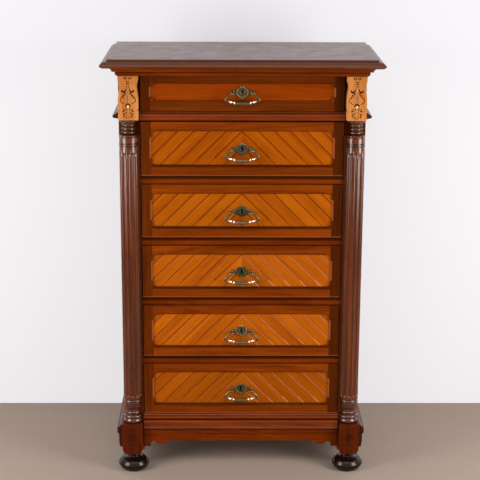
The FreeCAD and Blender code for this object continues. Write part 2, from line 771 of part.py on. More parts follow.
def drawer_frame(down):
    """Two stiles and two rails, grooved for the panel, with stopped chamfers round the opening."""
    name = "drawer_%d_frame" % down
    bottom = drawer_bottom(down)
    top = "%s + %s" % (bottom, front_height(down))
    low, high = panel_span(down)
    depth = ("-front_face", FRAME_BACK)
    members = [
        box(name + "_left", ("-front_half", "-" + OPENING_HALF), depth, (bottom, top)),
        box(name + "_right", (OPENING_HALF, "front_half"), depth, (bottom, top)),
        box(name + "_lower", ("-" + OPENING_HALF, OPENING_HALF), depth, (bottom, low)),
        box(name + "_upper", ("-" + OPENING_HALF, OPENING_HALF), depth, (high, top)),
    ]
    cutters = [box(name + "_groove", ("-%s - tongue" % OPENING_HALF, "%s + tongue" % OPENING_HALF),
                   (PANEL_FACE, PANEL_BACK), ("%s - tongue" % low, "%s + tongue" % high))]
    stop = "chamfer_stop / 2" if down == 1 else "chamfer_stop"
    across = "2 * (%s - %s)" % (OPENING_HALF, stop)
    upright = "(%s) - (%s) - 2 * %s" % (high, low, stop)
    face = "-front_face"
    for side, edge in (("lower", low), ("upper", high)):
        cutters.append(arris_cutter("%s_chamfer_%s" % (name, side), "x", across,
                                    "%s - %s" % (stop, OPENING_HALF), face, edge, "chamfer"))
    for side, edge in (("left", "-" + OPENING_HALF), ("right", OPENING_HALF)):
        cutters.append(arris_cutter("%s_chamfer_%s" % (name, side), "z", upright,
                                    edge, face, "%s + %s" % (low, stop), "chamfer"))
    if down > 1:
        return cut(name, group(name + "_members", members), cutters)
    rounds = []
    corners = [("-" + OPENING_HALF, low, 270), (OPENING_HALF, low, 180),
               (OPENING_HALF, high, 90), ("-" + OPENING_HALF, high, 0)]
    for index, (x, z, turn) in enumerate(corners):
        ticket = doc.addObject("Part::Cylinder", "%s_round_%d" % (name, index))
        upright_turn = FreeCAD.Rotation(X_AXIS, -90)
        ticket.Placement = FreeCAD.Placement(V(), upright_turn * FreeCAD.Rotation(Z_AXIS, turn))
        bind(ticket, Radius="ticket", Height="panel_recess")
        ticket.Angle = 90
        rounds.append(place(ticket, x, "-front_face", z))
    return group(name, [cut(name + "_cut", group(name + "_members", members), cutters)] + rounds)


def plain_panel(down):
    low, high = panel_span(down)
    reach = "tongue - slack"
    board = box("plain_board", ("-%s - (%s)" % (OPENING_HALF, reach), "%s + (%s)" % (OPENING_HALF, reach)),
                (PANEL_FACE, PANEL_BACK), ("%s - (%s)" % (low, reach), "%s + (%s)" % (high, reach)))
    return cut("drawer_%d_panel" % down, board,
               keyhole("panel_key_%d" % down, down, "-front_face", FRAME_BACK))


def grooved_panel(down):
    """Two halves of slanting boards that meet on the middle, the V grooves rising towards it."""
    name = "drawer_%d_panel" % down
    low, high = panel_span(down)
    reach = "tongue - slack"
    left_edge = "-%s - (%s)" % (OPENING_HALF, reach)
    bottom, top = "%s - (%s)" % (low, reach), "%s + (%s)" % (high, reach)
    half = new_body(name + "_half")
    corners = [(left_edge, bottom), (0, bottom), (0, top), (left_edge, top)]
    pad(half, outline(half, "XZ_Plane", corners), "panel_thickness")
    groove = half.newObject("PartDesign::SubtractiveBox", name + "_groove")
    width = "groove_depth * sqrt(2)"
    length = 2 * number("(%s) - (%s)" % (top, bottom))
    bind(groove, Length=length, Width=width, Height=width)
    slant = FreeCAD.Rotation(Y_AXIS, -45) * FreeCAD.Rotation(X_AXIS, 45)
    boards = math.ceil(number("%s / board_pitch" % OPENING_HALF))
    middle_boards = math.floor(number("((%s) - (%s)) / board_pitch" % (high, low)))
    first = V(-number("board_pitch") * (boards - 1), -number("panel_thickness"), number(high))
    halfway = V(length / 2, number(width) / 2, number(width) / 2)
    groove.Placement = FreeCAD.Placement(first - slant.multVec(halfway), slant)
    pattern = half.newObject("PartDesign::LinearPattern", name + "_grooves")
    pattern.Originals = [groove]
    pattern.Direction = (origin_part(half, "X_Axis"), [""])
    pattern.Occurrences = boards + middle_boards
    bind(pattern, Length="board_pitch * %d" % (boards + middle_boards - 1))
    half.Tip = pattern
    place(half, 0, PANEL_BACK, 0)
    halves = group(name + "_halves", [half, mirrored(name + "_other_half", half)])
    return cut(name, halves, keyhole("panel_key_%d" % down, down, "-front_face", FRAME_BACK))


def drawer_box(down):
    """Two sides and a back, grooved for the bottom board, behind the front."""
    name = "drawer_%d_box" % down
    low = drawer_bottom(down)
    high = "%s + %s - box_drop" % (low, front_height(down))
    inside = "box_half - box_side"
    floor = (low + " + bottom_lift", low + " + bottom_lift + box_bottom")
    bottom = box(name + "_bottom", ("-(%s) - 6" % inside, "%s + 6" % inside),
                 (FRAME_BACK, "box_back - box_side"), floor)
    boards = [
        box(name + "_left", ("-box_half", minus(inside)), (FRAME_BACK, "box_back"), (low, high)),
        box(name + "_right", (inside, "box_half"), (FRAME_BACK, "box_back"), (low, high)),
    ]
    sides = cut(name + "_sides", group(name + "_boards", boards), [bottom])
    back = box(name + "_back", (minus(inside), inside), ("box_back - box_side", "box_back"),
               (low + " + bottom_lift", "%s - 4" % high))
    return group(name, [sides, back, bottom])


def drawer_plate(down):
    """A pierced keyhole plate with an ear at each side, and the two posts that stand on the ears."""
    name = "drawer_%d_plate" % down
    key = key_height(down)
    half = [
        (0, "-plate_rise - 2.5"),
        ("plate_half * 0.55", "plate_rise * -0.84"),
        ("plate_half * 0.87", "plate_rise * -0.5"),
        ("plate_half + 3", "-post_drop - 5"),
        ("post_half", "-post_drop - 6"),
        ("post_half + 5", "-post_drop - 3"),
        ("post_half + 5", "3 - post_drop"),
        ("post_half", "6 - post_drop"),
        ("plate_half + 3", "5 - post_drop"),
        ("plate_half * 0.87", "plate_rise * 0.5"),
        ("plate_half * 0.6", "plate_rise * 0.8"),
        (0, "plate_rise + 1"),
    ]
    points = half + [(minus(x), z) for x, z in reversed(half[1:-1])]
    disc = place(padded(name + "_disc", "XZ_Plane", points, "plate"), 0, PANEL_FACE, key)
    pierced = cut(name + "_pierced", disc, keyhole("plate_key_%d" % down, down, "-front_face", PANEL_BACK))
    pivot = "%s - post_drop" % key
    post = prism(name + "_post", 6, -Y_AXIS, "handle_post", "pivot_out - plate + 5",
                 "post_half", "%s - plate" % PANEL_FACE, pivot)
    hole = prism(name + "_hole", 6, X_AXIS, "pin_radius + pin_play", 20,
                 "post_half - 10", "%s - pivot_out" % PANEL_FACE, pivot)
    right = cut(name + "_right_post", post, [hole])
    return group(name, [pierced, right, mirrored(name + "_left_post", right)])


def bail(down):
    """A swinging handle: a curved bar with a grip and collars, two arms, and pins in the posts."""
    name = "drawer_%d_bail" % down
    body = new_body(name)
    pipe = body.newObject("PartDesign::AdditivePipe", name + "_rod")
    across, along = "rod_radius", "rod_radius * %.6f" % math.sin(math.pi / 3)
    pipe.Profile = outline(body, "YZ_Plane", [
        (across, "-bar_drop"),
        (across + " / 2", along + " - bar_drop"),
        ("-%s / 2" % across, along + " - bar_drop"),
        ("-" + across, "-bar_drop"),
        ("-%s / 2" % across, "-bar_drop - " + along),
        (across + " / 2", "-bar_drop - " + along),
    ], "section")
    pipe.Spine = (open_path(body, "XZ_Plane", BAIL_LINE), [])
    pipe.Transition = "Right corner"
    halves = body.newObject("PartDesign::Mirrored", name + "_halves")
    halves.Originals = [pipe]
    halves.MirrorPlane = (origin_part(body, "YZ_Plane"), [""])
    body.Tip = halves
    bar = "0.4 - bar_drop"
    lengths = [("grip", "grip_radius", "-grip_half", "2 * grip_half", bar)]
    for side in ("", "-"):
        collar_middle = "%s(grip_half + 8)" % side
        lengths.append(("collar", "rod_radius + 1.5", collar_middle + " - 2.5", 5, bar + " + 1.2"))
        pin_start = "post_half - handle_post" if side == "" else "-arm_end"
        lengths.append(("pin", "pin_radius", pin_start, "arm_end - post_half + handle_post", "-post_drop"))
    for part, radius, start, length, height in lengths:
        bar_part = body.newObject("PartDesign::AdditivePrism", "%s_%s" % (name, part))
        bar_part.Polygon = 8 if part == "grip" else 6
        bar_part.Placement = FreeCAD.Placement(V(), FreeCAD.Rotation(Z_AXIS, X_AXIS))
        bind(bar_part, Circumradius=radius, Height=length)
        place(bar_part, start, 0, height)
    return place(body, 0, "%s - pivot_out" % PANEL_FACE, key_height(down))


def lock(down):
    """The lock case, with its keyhole and the channel that its bolt slides in."""
    name = "drawer_%d_lock" % down
    key = key_height(down)
    rise = "lock_rise - 8" if down == 1 else "lock_rise"
    case = box(name + "_case", ("-lock_width / 2", "lock_width / 2"),
               (PANEL_BACK, "%s + lock_depth" % PANEL_BACK), ("%s - 18" % key, "%s + %s" % (key, rise)))
    channel = box(name + "_channel", ("-bolt_width / 2 - bolt_play", "bolt_width / 2 + bolt_play"),
                  ("%s - bolt_thickness / 2 - bolt_play" % BOLT_MIDDLE,
                   "%s + bolt_thickness / 2 + bolt_play" % BOLT_MIDDLE),
                  ("%s + 6" % key, "%s + lock_rise + 2" % key))
    key_way = box(name + "_key_way", ("-keyhole_radius", "keyhole_radius"),
                  ("%s - 1" % PANEL_BACK, "%s + lock_depth - 3" % PANEL_BACK),
                  ("%s - keyhole_drop" % key, "%s + keyhole_lift + keyhole_radius" % key))
    return cut(name, case, [channel, key_way])


def bolt(down):
    """The long bolt, drawn back level with the top of the front."""
    top = "%s + %s - 1" % (drawer_bottom(down), front_height(down))
    return box("drawer_%d_bolt" % down, ("-bolt_width / 2", "bolt_width / 2"),
               ("%s - bolt_thickness / 2" % BOLT_MIDDLE, "%s + bolt_thickness / 2" % BOLT_MIDDLE),
               ("%s + 7" % key_height(down), top))


# ---- The chest ----

right_frame = side_frame()
nodes = [
    top_board(),
    cornice_moulding(),
    belt_mouldings(),
    base_mouldings(),
    front_apron(),
    right_frame,
    mirrored("left_side_frame", right_frame),
    side_panels(),
    cross_rails(),
    drawer_runners(),
    drawer_stops(),
    back_boards(),
    bottom_board(),
    column("left_column", "-"),
    column("right_column", ""),
    capital_blocks(),
    foot_blocks(),
    feet(),
]
for drawer in range(1, DRAWERS + 1):
    nodes += [
        drawer_frame(drawer),
        plain_panel(drawer) if drawer == 1 else grooved_panel(drawer),
        drawer_box(drawer),
        drawer_plate(drawer),
        bail(drawer),
        lock(drawer),
        bolt(drawer),
    ]
doc.recompute()

for feature in doc.Objects:
    if "Invalid" in feature.State or "Error" in feature.State:
        raise RuntimeError("%s did not build: %s" % (feature.Name, feature.State))
for node in nodes:
    if node.Shape.isNull() or not node.Shape.isValid() or not node.Shape.Solids:
        raise RuntimeError("%s is not a good solid" % node.Name)
    node.Label = node.Name

os.makedirs("parts", exist_ok=True)
for node in nodes:
    node.Shape.exportStep("parts/%s.step" % node.Label)
print("%d nodes, %d solids" % (len(nodes), sum(len(node.Shape.Solids) for node in nodes)))
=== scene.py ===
import math
from collections import namedtuple

import bmesh
import bpy
from mathutils import Matrix, Vector


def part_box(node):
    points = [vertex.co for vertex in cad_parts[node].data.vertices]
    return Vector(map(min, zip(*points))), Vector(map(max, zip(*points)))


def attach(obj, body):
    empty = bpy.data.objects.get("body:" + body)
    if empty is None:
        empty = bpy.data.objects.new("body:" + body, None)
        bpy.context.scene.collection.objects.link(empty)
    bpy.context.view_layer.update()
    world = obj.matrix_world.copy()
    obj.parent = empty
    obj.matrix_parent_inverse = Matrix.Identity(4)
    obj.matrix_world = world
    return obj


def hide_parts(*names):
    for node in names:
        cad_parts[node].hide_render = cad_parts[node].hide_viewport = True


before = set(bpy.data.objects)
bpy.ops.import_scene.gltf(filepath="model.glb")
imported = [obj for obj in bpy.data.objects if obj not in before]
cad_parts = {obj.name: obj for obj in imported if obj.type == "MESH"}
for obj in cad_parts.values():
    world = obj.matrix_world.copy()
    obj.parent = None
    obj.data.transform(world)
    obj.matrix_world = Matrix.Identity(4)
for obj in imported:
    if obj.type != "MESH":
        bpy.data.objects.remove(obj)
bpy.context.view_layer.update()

MM = 0.001
MERGED = 1e-4
X_AXIS, Y_AXIS, Z_AXIS = Vector((1, 0, 0)), Vector((0, 1, 0)), Vector((0, 0, 1))


# ---- Sizes of the chest, in millimetres ----

def span(node, axis):
    """Lowest and highest place of a node along an axis."""
    low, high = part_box(node)
    return round(low[axis] / MM, 1), round(high[axis] / MM, 1)


DRAWERS = range(1, 7)
COLUMN_X, COLUMN_Y = 367.5, -140.5
CAPITAL_X, FOOT_BLOCK_X = 365.4, 369.3
COLUMN_FOOT, COLUMN_HEAD = span("left_column", 2)
CORNICE_FOOT = span("capital_blocks", 2)[1]
FOOT_TOP = span("feet", 2)[1]
POST_FACE = span("left_column", 1)[1]
BLOCK_FACE = span("capital_blocks", 1)[0]
PANEL_FACE = span("drawer_1_panel", 1)[0]
PIVOT_Y = sum(span("drawer_1_bail", 1)) / 2
LOWEST_FRONT = span("drawer_6_frame", 2)[0]
FRONT_PITCH = span("drawer_5_frame", 2)[0] - LOWEST_FRONT
PLATE_BELOW = 20.0
PLATE_HEIGHTS = {drawer: span(f"drawer_{drawer}_plate", 2)[0] + PLATE_BELOW for drawer in DRAWERS}
OPENING_HALF = 294.5
BOARD_PITCH = 52.0


# ---- Making meshes ----

def chain(mesh, points):
    """A line of edges through points, ready to be spun."""
    verts = [mesh.verts.new(point) for point in points]
    edges = [mesh.edges.new(pair) for pair in zip(verts, verts[1:])]
    return verts + edges


def swelled(points, steps=5):
    """A profile's points; a third number is a round that swells by so much on the way there."""
    out = []
    for index, point in enumerate(points):
        if len(point) > 2:
            low, high = Vector(points[index - 1][:2]), Vector(point[:2])
            side = Vector((high.y - low.y, low.x - high.x)).normalized()
            for step in range(1, steps):
                part = step / steps
                out.append(tuple(low.lerp(high, part) + side * point[2] * math.sin(math.pi * part)))
        out.append(tuple(point[:2]))
    return out


def turn(mesh, profile, steps, centre=(0, 0, 0), axis=Z_AXIS):
    """Turns a profile of (radius, distance along the axis) about an axis."""
    out = -Y_AXIS if axis is X_AXIS else X_AXIS
    middle = Vector(centre)
    parts = chain(mesh, [middle + out * radius + axis * along for radius, along in profile])
    bmesh.ops.spin(mesh, geom=parts, cent=middle, axis=axis, dvec=(0, 0, 0), angle=2 * math.pi,
                   steps=steps, use_merge=True)
    bmesh.ops.remove_doubles(mesh, verts=mesh.verts, dist=MERGED)


def bead(mesh, centre, radius, squash=(1, 1, 1), fine=2):
    """A small round bead, stretched along the axes by squash."""
    place = Matrix.Translation(centre) @ Matrix.Diagonal((*squash, 1))
    bmesh.ops.create_icosphere(mesh, subdivisions=fine, radius=radius, matrix=place)


def block(mesh, low, high):
    """A plain block between two corners."""
    low, high = Vector(low), Vector(high)
    place = Matrix.Translation((low + high) / 2) @ Matrix.Diagonal((*(high - low), 1))
    return bmesh.ops.create_cube(mesh, size=1, matrix=place)["verts"]


def eased(mesh, edges, width):
    """Rounds edges over a little."""
    bmesh.ops.bevel(mesh, geom=edges, offset=width, segments=2, profile=0.5, material=-1,
                    affect="EDGES")


def paint(mesh, index, before):
    """Gives the faces made since the count before a material of the piece."""
    mesh.faces.ensure_lookup_table()
    for face in mesh.faces[before:]:
        face.material_index = index


def data_of(mesh, name):
    """Ends a mesh and gives its data."""
    data = bpy.data.meshes.new(name)
    mesh.to_mesh(data)
    mesh.free()
    return data


def in_metres(mesh, name):
    """Ends a mesh that was made in millimetres, with its faces turned outwards."""
    bmesh.ops.recalc_face_normals(mesh, faces=mesh.faces)
    bmesh.ops.scale(mesh, vec=(MM, MM, MM), verts=mesh.verts)
    return data_of(mesh, name)


def linked(name, data):
    """A new object in the scene."""
    made = bpy.data.objects.new(name, data)
    bpy.context.collection.objects.link(made)
    return made


def shown_mesh(made):
    """The mesh of an object as its modifiers or its curve show it."""
    return bpy.data.meshes.new_from_object(made.evaluated_get(bpy.context.evaluated_depsgraph_get()))


def piece(mesh, name, body, materials, replaced=None, smooth=38):
    """Turns a mesh in millimetres into a piece of the chest that rides on a body."""
    bmesh.ops.remove_doubles(mesh, verts=mesh.verts, dist=MERGED)
    data = in_metres(mesh, name)
    for face in data.polygons:
        face.use_smooth = True
    data.set_sharp_from_angle(angle=math.radians(smooth))
    for material in materials:
        data.materials.append(material)
    made = linked(name, data)
    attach(made, body)
    if replaced:
        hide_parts(replaced)
    return made


def bent_rods(lines, thickness, roundness):
    """Round rods in metres; a line is a list of (x, y, z, relative thickness) in millimetres."""
    curve = bpy.data.curves.new("rod", "CURVE")
    curve.dimensions = "3D"
    curve.bevel_depth = thickness * MM
    curve.bevel_resolution = roundness
    curve.resolution_u = 6
    curve.use_fill_caps = True
    for points in lines:
        spline = curve.splines.new("BEZIER")
        spline.bezier_points.add(len(points) - 1)
        for knot, (x, y, z, scale) in zip(spline.bezier_points, points):
            knot.co = (x * MM, y * MM, z * MM)
            knot.radius = scale
            knot.handle_left_type = knot.handle_right_type = "AUTO"
    carrier = linked("rod", curve)
    data = shown_mesh(carrier)
    bpy.data.objects.remove(carrier)
    bpy.data.curves.remove(curve)
    return data


def carve(made, cutter_data, material):
    """Cuts the cutter's shape out of a piece, and gives the cut faces a material of their own."""
    cutter_data.materials.clear()
    cutter_data.materials.append(material)
    cutter = linked("cutter", cutter_data)
    tool = made.modifiers.new("carving", "BOOLEAN")
    tool.operation = "DIFFERENCE"
    tool.solver = "EXACT"
    tool.material_mode = "TRANSFER"
    tool.use_self = True
    tool.object = cutter
    data = shown_mesh(made)
    made.modifiers.clear()
    old, made.data = made.data, data
    bpy.data.meshes.remove(old)
    bpy.data.objects.remove(cutter)
    for face in data.polygons:
        face.use_smooth = face.normal.y > -0.999
    data.set_sharp_from_angle(angle=math.radians(30))


# ---- Making materials ----

def shade(colour):
    """A colour of three parts from 0 to 255 as linear values; a socket stays as it is."""
    if isinstance(colour, bpy.types.NodeSocket):
        return colour
    linear = [part / 12.92 if part <= 0.04045 else ((part + 0.055) / 1.055) ** 2.4
              for part in (part / 255 for part in colour)]
    return (*linear, 1.0)


def wire(tree, node, values):
    """Fills a node's inputs, by name or number, with values or sockets."""
    for key, value in values.items():
        if isinstance(value, bpy.types.NodeSocket):
            tree.links.new(value, node.inputs[key])
        else:
            node.inputs[key].default_value = value


def add(tree, kind, values=None, **settings):
    """Adds a node, sets its attributes and fills its inputs."""
    node = tree.nodes.new("ShaderNode" + kind)
    for name, setting in settings.items():
        setattr(node, name, setting)
    wire(tree, node, values or {})
    return node


def calc(tree, operation, *values, clamp=False):
    """A sum on values or sockets."""
    return add(tree, "Math", dict(enumerate(values)), operation=operation, use_clamp=clamp).outputs[0]


def vector_calc(tree, operation, first, second):
    """A sum on two vectors."""
    node = add(tree, "VectorMath", {0: first, 1: second}, operation=operation)
    return node.outputs["Value" if operation == "DOT_PRODUCT" else "Vector"]


def times(tree, first, *others):
    """The product of all the values."""
    for other in others:
        first = calc(tree, "MULTIPLY", first, other)
    return first


def highest(tree, first, *others):
    """The highest of all the values."""
    for other in others:
        first = calc(tree, "MAXIMUM", first, other)
    return first


def over(tree, value, limit):
    """1 where a value is over a limit."""
    return calc(tree, "GREATER_THAN", value, limit)


def under(tree, value, limit):
    """1 where a value is under a limit."""
    return calc(tree, "LESS_THAN", value, limit)


def size_of(tree, value):
    return calc(tree, "ABSOLUTE", value)


def rest_of(tree, mask):
    return calc(tree, "SUBTRACT", 1.0, mask)


def between(tree, value, low, high, start=0.0, end=1.0):
    """A ramp that is start up to low and end from high."""
    return add(tree, "MapRange", {0: value, 1: low, 2: high, 3: start, 4: end}).outputs[0]


def mixed(tree, factor, first, second):
    """Two colours mixed by a mask, which is 1 where the second shows."""
    values = {0: factor, 6: shade(first), 7: shade(second)}
    return add(tree, "Mix", values, data_type="RGBA").outputs[2]


def mixed_vector(tree, factor, first, second):
    return add(tree, "Mix", {0: factor, 4: first, 5: second}, data_type="VECTOR").outputs[1]


def split(tree, vector):
    return add(tree, "SeparateXYZ", {0: vector}).outputs


def joined(tree, x, y, z):
    return add(tree, "CombineXYZ", {0: x, 1: y, 2: z}).outputs[0]


def speckle(tree, vector, scale, detail=2.0, roughness=0.5):
    """Soft noise; scale is in specks per metre."""
    return add(tree, "TexNoise", {"Vector": vector, "Scale": scale, "Detail": detail,
                                  "Roughness": roughness}).outputs["Fac"]


def streaks(tree, vector, fineness, detail, roughness=0.5):
    """Noise drawn out along the grain; fineness is in specks per metre along each axis."""
    return speckle(tree, vector_calc(tree, "MULTIPLY", vector, fineness), 1.0, detail, roughness)


def bump(tree, height, normal, strength, distance):
    return add(tree, "Bump", {"Height": height, "Normal": normal, "Strength": strength,
                              "Distance": distance}).outputs[0]


def new_group(name, inputs, outputs):
    """An empty node group; inputs and outputs give the kind of each named socket."""
    tree = bpy.data.node_groups.new(name, "ShaderNodeTree")
    for way, sockets in (("INPUT", inputs), ("OUTPUT", outputs)):
        for title, kind in sockets.items():
            tree.interface.new_socket(title, in_out=way, socket_type="NodeSocket" + kind)
    return tree, tree.nodes.new("NodeGroupInput").outputs, tree.nodes.new("NodeGroupOutput")


def build_grain_turn():
    """Turns the grain: upright stays along Z, otherwise it runs along X, and deep sets it along Y."""
    tree, given, out = new_group(
        "grain_turn", {"Vector": "Vector", "Upright": "Float", "Deep": "Float"}, {"Vector": "Vector"})
    x, y, z = split(tree, given["Vector"])
    standing = mixed_vector(tree, given["Upright"], joined(tree, z, y, x), given["Vector"])
    wire(tree, out, {"Vector": mixed_vector(tree, given["Deep"], standing, joined(tree, x, z, y))})
    return tree


def build_wood_figure():
    """Figure, streaks and pores of a board whose grain runs along Z."""
    tree, given, out = new_group(
        "wood_figure", {"Vector": "Vector", "Dark": "Color", "Light": "Color", "Pore": "Color",
                        "Contrast": "Float"}, {"Color": "Color", "Height": "Float"})
    warp = streaks(tree, given["Vector"], (5, 5, 1.4), 2)
    drift = vector_calc(tree, "MULTIPLY", joined(tree, warp, warp, 0.0), (0.11, 0.11, 0.0))
    bent = vector_calc(tree, "ADD", given["Vector"], drift)
    broad = streaks(tree, bent, (22, 22, 1.6), 3, 0.6)
    fine = streaks(tree, bent, (130, 130, 3.5), 3, 0.6)
    pored = between(tree, streaks(tree, given["Vector"], (1100, 1100, 45), 1), 0.6, 0.74)
    figure = calc(tree, "ADD", times(tree, broad, 0.6), times(tree, fine, 0.4))
    strong = calc(tree, "MULTIPLY_ADD", calc(tree, "SUBTRACT", figure, 0.5),
                  times(tree, given["Contrast"], 3.2), 0.5, clamp=True)
    ground = mixed(tree, strong, given["Dark"], given["Light"])
    wire(tree, out, {"Color": mixed(tree, times(tree, pored, 0.5), ground, given["Pore"]),
                     "Height": calc(tree, "SUBTRACT", times(tree, fine, 0.5), pored)})
    return tree


def build_edge_and_recess_masks():
    """Worn arrises, partly painted highlight, with a rounded normal; recesses for grime and painted shade.
    """
    tree, given, out = new_group(
        "edge_and_recess_masks", {"Vector": "Vector", "Radius": "Float", "Reach": "Float"},
        {"Worn and highlit": "Float", "Dirt and shade": "Float", "Normal": "Vector"})
    rounded = add(tree, "Bevel", {"Radius": given["Radius"]}, samples=4).outputs[0]
    facing = add(tree, "NewGeometry").outputs["Normal"]
    turned_away = between(tree, vector_calc(tree, "DOT_PRODUCT", rounded, facing), 0.995, 0.80)
    # arrises turned away from the face are lightened: wear, and painted highlight
    lightened = between(tree, speckle(tree, given["Vector"], 38.0, 3), 0.35, 0.62)
    # occlusion darkens the recesses: grime and painted shade
    air = add(tree, "AmbientOcclusion", {"Distance": given["Reach"]}, samples=6)
    shut = between(tree, air.outputs["AO"], 0.85, 0.35)
    wire(tree, out, {"Worn and highlit": times(tree, turned_away, lightened, rest_of(tree, shut)), "Dirt and shade": shut,
                     "Normal": rounded})
    return tree


def build_board_tint():
    """Each slanting board of a panel gets a tint of its own, and its seam a dark line."""
    tree, given, out = new_group(
        "board_tint", {"Vector": "Vector", "Top": "Float", "Pitch": "Float", "Seed": "Float"},
        {"Vector": "Vector", "Tint": "Float", "Seam": "Float"})
    x, y, z = split(tree, given["Vector"])
    outwards = size_of(tree, x)
    up_and_out = calc(tree, "ADD", outwards, z)
    boards = calc(tree, "DIVIDE", calc(tree, "SUBTRACT", up_and_out, given["Top"]), given["Pitch"])
    board = calc(tree, "FLOOR", boards)
    right_half = over(tree, x, 0.0)
    seed = joined(tree, board, calc(tree, "MULTIPLY_ADD", right_half, 17.0, given["Seed"]), 3.0)
    dice = add(tree, "TexWhiteNoise", {"Vector": seed})
    part = calc(tree, "FRACT", boards)
    near = calc(tree, "MINIMUM", part, rest_of(tree, part))
    slant = math.sqrt(0.5)
    along = times(tree, calc(tree, "SUBTRACT", z, outwards), slant)
    across = calc(tree, "MULTIPLY_ADD", board, 0.37, times(tree, up_and_out, slant))
    depth = calc(tree, "MULTIPLY_ADD", right_half, 3.0, y)
    wire(tree, out, {"Vector": joined(tree, across, depth, along), "Tint": dice.outputs["Value"],
                     "Seam": between(tree, near, 0.042, 0.016)})
    return tree


GRAIN_TURN = build_grain_turn()
WOOD_FIGURE = build_wood_figure()
EDGE_AND_RECESS_MASKS = build_edge_and_recess_masks()
BOARD_TINT = build_board_tint()


def fill(tree, group, values):
    """Places a node group in a material with values of its own."""
    return add(tree, "Group", values, node_tree=group).outputs


def new_material(name):
    """A bare material: its tree, its shader and its object coordinates."""
    material = bpy.data.materials.new(name)
    material.use_nodes = True
    tree = material.node_tree
    shader = tree.nodes["Principled BSDF"]
    where = add(tree, "TexCoord").outputs["Object"]
    return material, tree, shader, where


# ---- How the grain lies on each kind of member, what is darker, and painted shade and light ----

SHALLOW_FRONT_FOOT = 1200.0
# from this height up, the top drawer's top rail gets painted shade under the cornice
SHALLOW_RAIL_FOOT = 1334.0
# bottom rail's top, foot of the painted shade under the panel, top of the painted arris highlight
LOW_RAIL_TOP, LOW_RAIL_LIP, LOW_ARRIS = 37.3, 28.2, 2.7
RAIL_SHADOW = (190.4, 195.8)
LOW_RINGS_END = (270.0, 250.0)
HIGH_RINGS_START = (1160.0, 1168.0)
GROOVES = (COLUMN_HEAD - 85.6, COLUMN_HEAD - 78.2)
GROOVE_HALF = 1.9
FRONT_POST_BACK, REAR_POST_FRONT = -85.0, 165.0
# the painted light on the posts' fronts fades out between these heights; its colour
POST_PAINTED_LIGHT_END = (1166.0, 1158.0)
POST_PAINTED_LIGHT = (160, 92, 66)
RETURN_X = 398.0
LEVEL, UPRIGHT, DEEP = {}, {"upright": 1.0}, {"deep": 1.0}


def height_on_front(tree, z):
    """Height above the foot of the deep front at a level, in millimetres."""
    fronts = calc(tree, "DIVIDE", calc(tree, "SUBTRACT", z, LOWEST_FRONT * MM), FRONT_PITCH * MM)
    return times(tree, calc(tree, "FRACT", fronts), FRONT_PITCH)


def ramp(tree, value, ends):
    """A ramp from 0 to 1 between two places in millimetres."""
    return between(tree, value, ends[0] * MM, ends[1] * MM)


def drawer_front(tree, where):
    """Upright stiles and level rails, darker in places and with painted shade under the panels
    and the cornice, and with painted highlights on the low arrises and the chamfers.
    """
    x, _, z = split(tree, where)
    stiles = over(tree, size_of(tree, x), OPENING_HALF * MM)
    stile_shade = calc(tree, "MULTIPLY_ADD", over(tree, x, 0.0), 0.3, 0.44)
    rise = height_on_front(tree, z)
    deep_front = under(tree, z, SHALLOW_FRONT_FOOT * MM)
    # painted shade on the strip of each deep bottom rail just under the panel
    under_panel_shade = times(tree, deep_front, over(tree, rise, LOW_RAIL_LIP))
    plain = calc(tree, "MULTIPLY_ADD", deep_front, -0.3, 0.42)
    rail_shade = calc(tree, "MULTIPLY_ADD", under_panel_shade, 0.62, plain)
    low_rail = times(tree, under(tree, rise, LOW_RAIL_TOP), rail_shade, rest_of(tree, stiles))
    # painted shade under the cornice, on the top drawer's top rail
    cornice_shade = times(tree, over(tree, z, SHALLOW_RAIL_FOOT * MM), 0.45)
    # painted highlights on the chamfers and on the low arris of each front
    true_normal = add(tree, "NewGeometry").outputs["True Normal"]
    slant = size_of(tree, split(tree, true_normal)[0])
    chamfer_highlight = times(tree, over(tree, slant, 0.35), under(tree, slant, 0.95))
    return {"upright": stiles,
            "dark": highest(tree, times(tree, stiles, stile_shade), low_rail, cornice_shade),
            "highlit": highest(tree, times(tree, under(tree, rise, LOW_ARRIS), 0.4),
                              times(tree, chamfer_highlight, 0.75))}


def cross_rail(tree, where):
    """Level, with a painted shadow close under the drawer above."""
    rise = height_on_front(tree, split(tree, where)[2])
    return {"dark": between(tree, rise, *RAIL_SHADOW, 0.0, 0.82)}


def turned_column(tree, where):
    """Upright, with painted shade in the grooves, and darker among the rings at both ends."""
    height = split(tree, where)[2]
    rings = calc(tree, "ADD", ramp(tree, height, LOW_RINGS_END), ramp(tree, height, HIGH_RINGS_START))
    grooves = [calc(tree, "COMPARE", height, groove * MM, GROOVE_HALF * MM) for groove in GROOVES]
    return {"upright": 1.0,
            "dark": highest(tree, times(tree, rings, 0.5),
                            times(tree, calc(tree, "ADD", *grooves), 0.9))}


def side_frame(tree, where):
    """Upright posts with rails from front to back; the posts' fronts get painted light below the capitals.
    """
    _, y, z = split(tree, where)
    posts = calc(tree, "ADD", under(tree, y, FRONT_POST_BACK * MM), over(tree, y, REAR_POST_FRONT * MM))
    # painted light on the posts' fronts below the capitals
    lightened = times(tree, under(tree, y, (POST_FACE + 0.5) * MM), ramp(tree, z, POST_PAINTED_LIGHT_END), 0.9)
    return {"upright": posts, "deep": rest_of(tree, posts), "dark": lightened, "shade": POST_PAINTED_LIGHT}


def moulding(tree, where):
    """Level, and dark where the moulding returns along the sides."""
    return {"dark": times(tree, over(tree, size_of(tree, split(tree, where)[0]), RETURN_X * MM), 0.72)}


# ---- Woods ----

def board_colours(tree, where, colour, boards, panel):
    """Tints each board of a panel and draws its seams: dark, or painted highlights on a highlit right
    half.
    """
    colour = mixed(tree, times(tree, boards["Tint"], 0.3), colour, panel["other"])
    line, strength = (92, 14, 0), 0.8
    if panel["pale"]:
        line, strength = mixed(tree, over(tree, split(tree, where)[0], 0.0), line, panel["pale"]), 0.6
    return mixed(tree, times(tree, boards["Seam"], strength), colour, line)


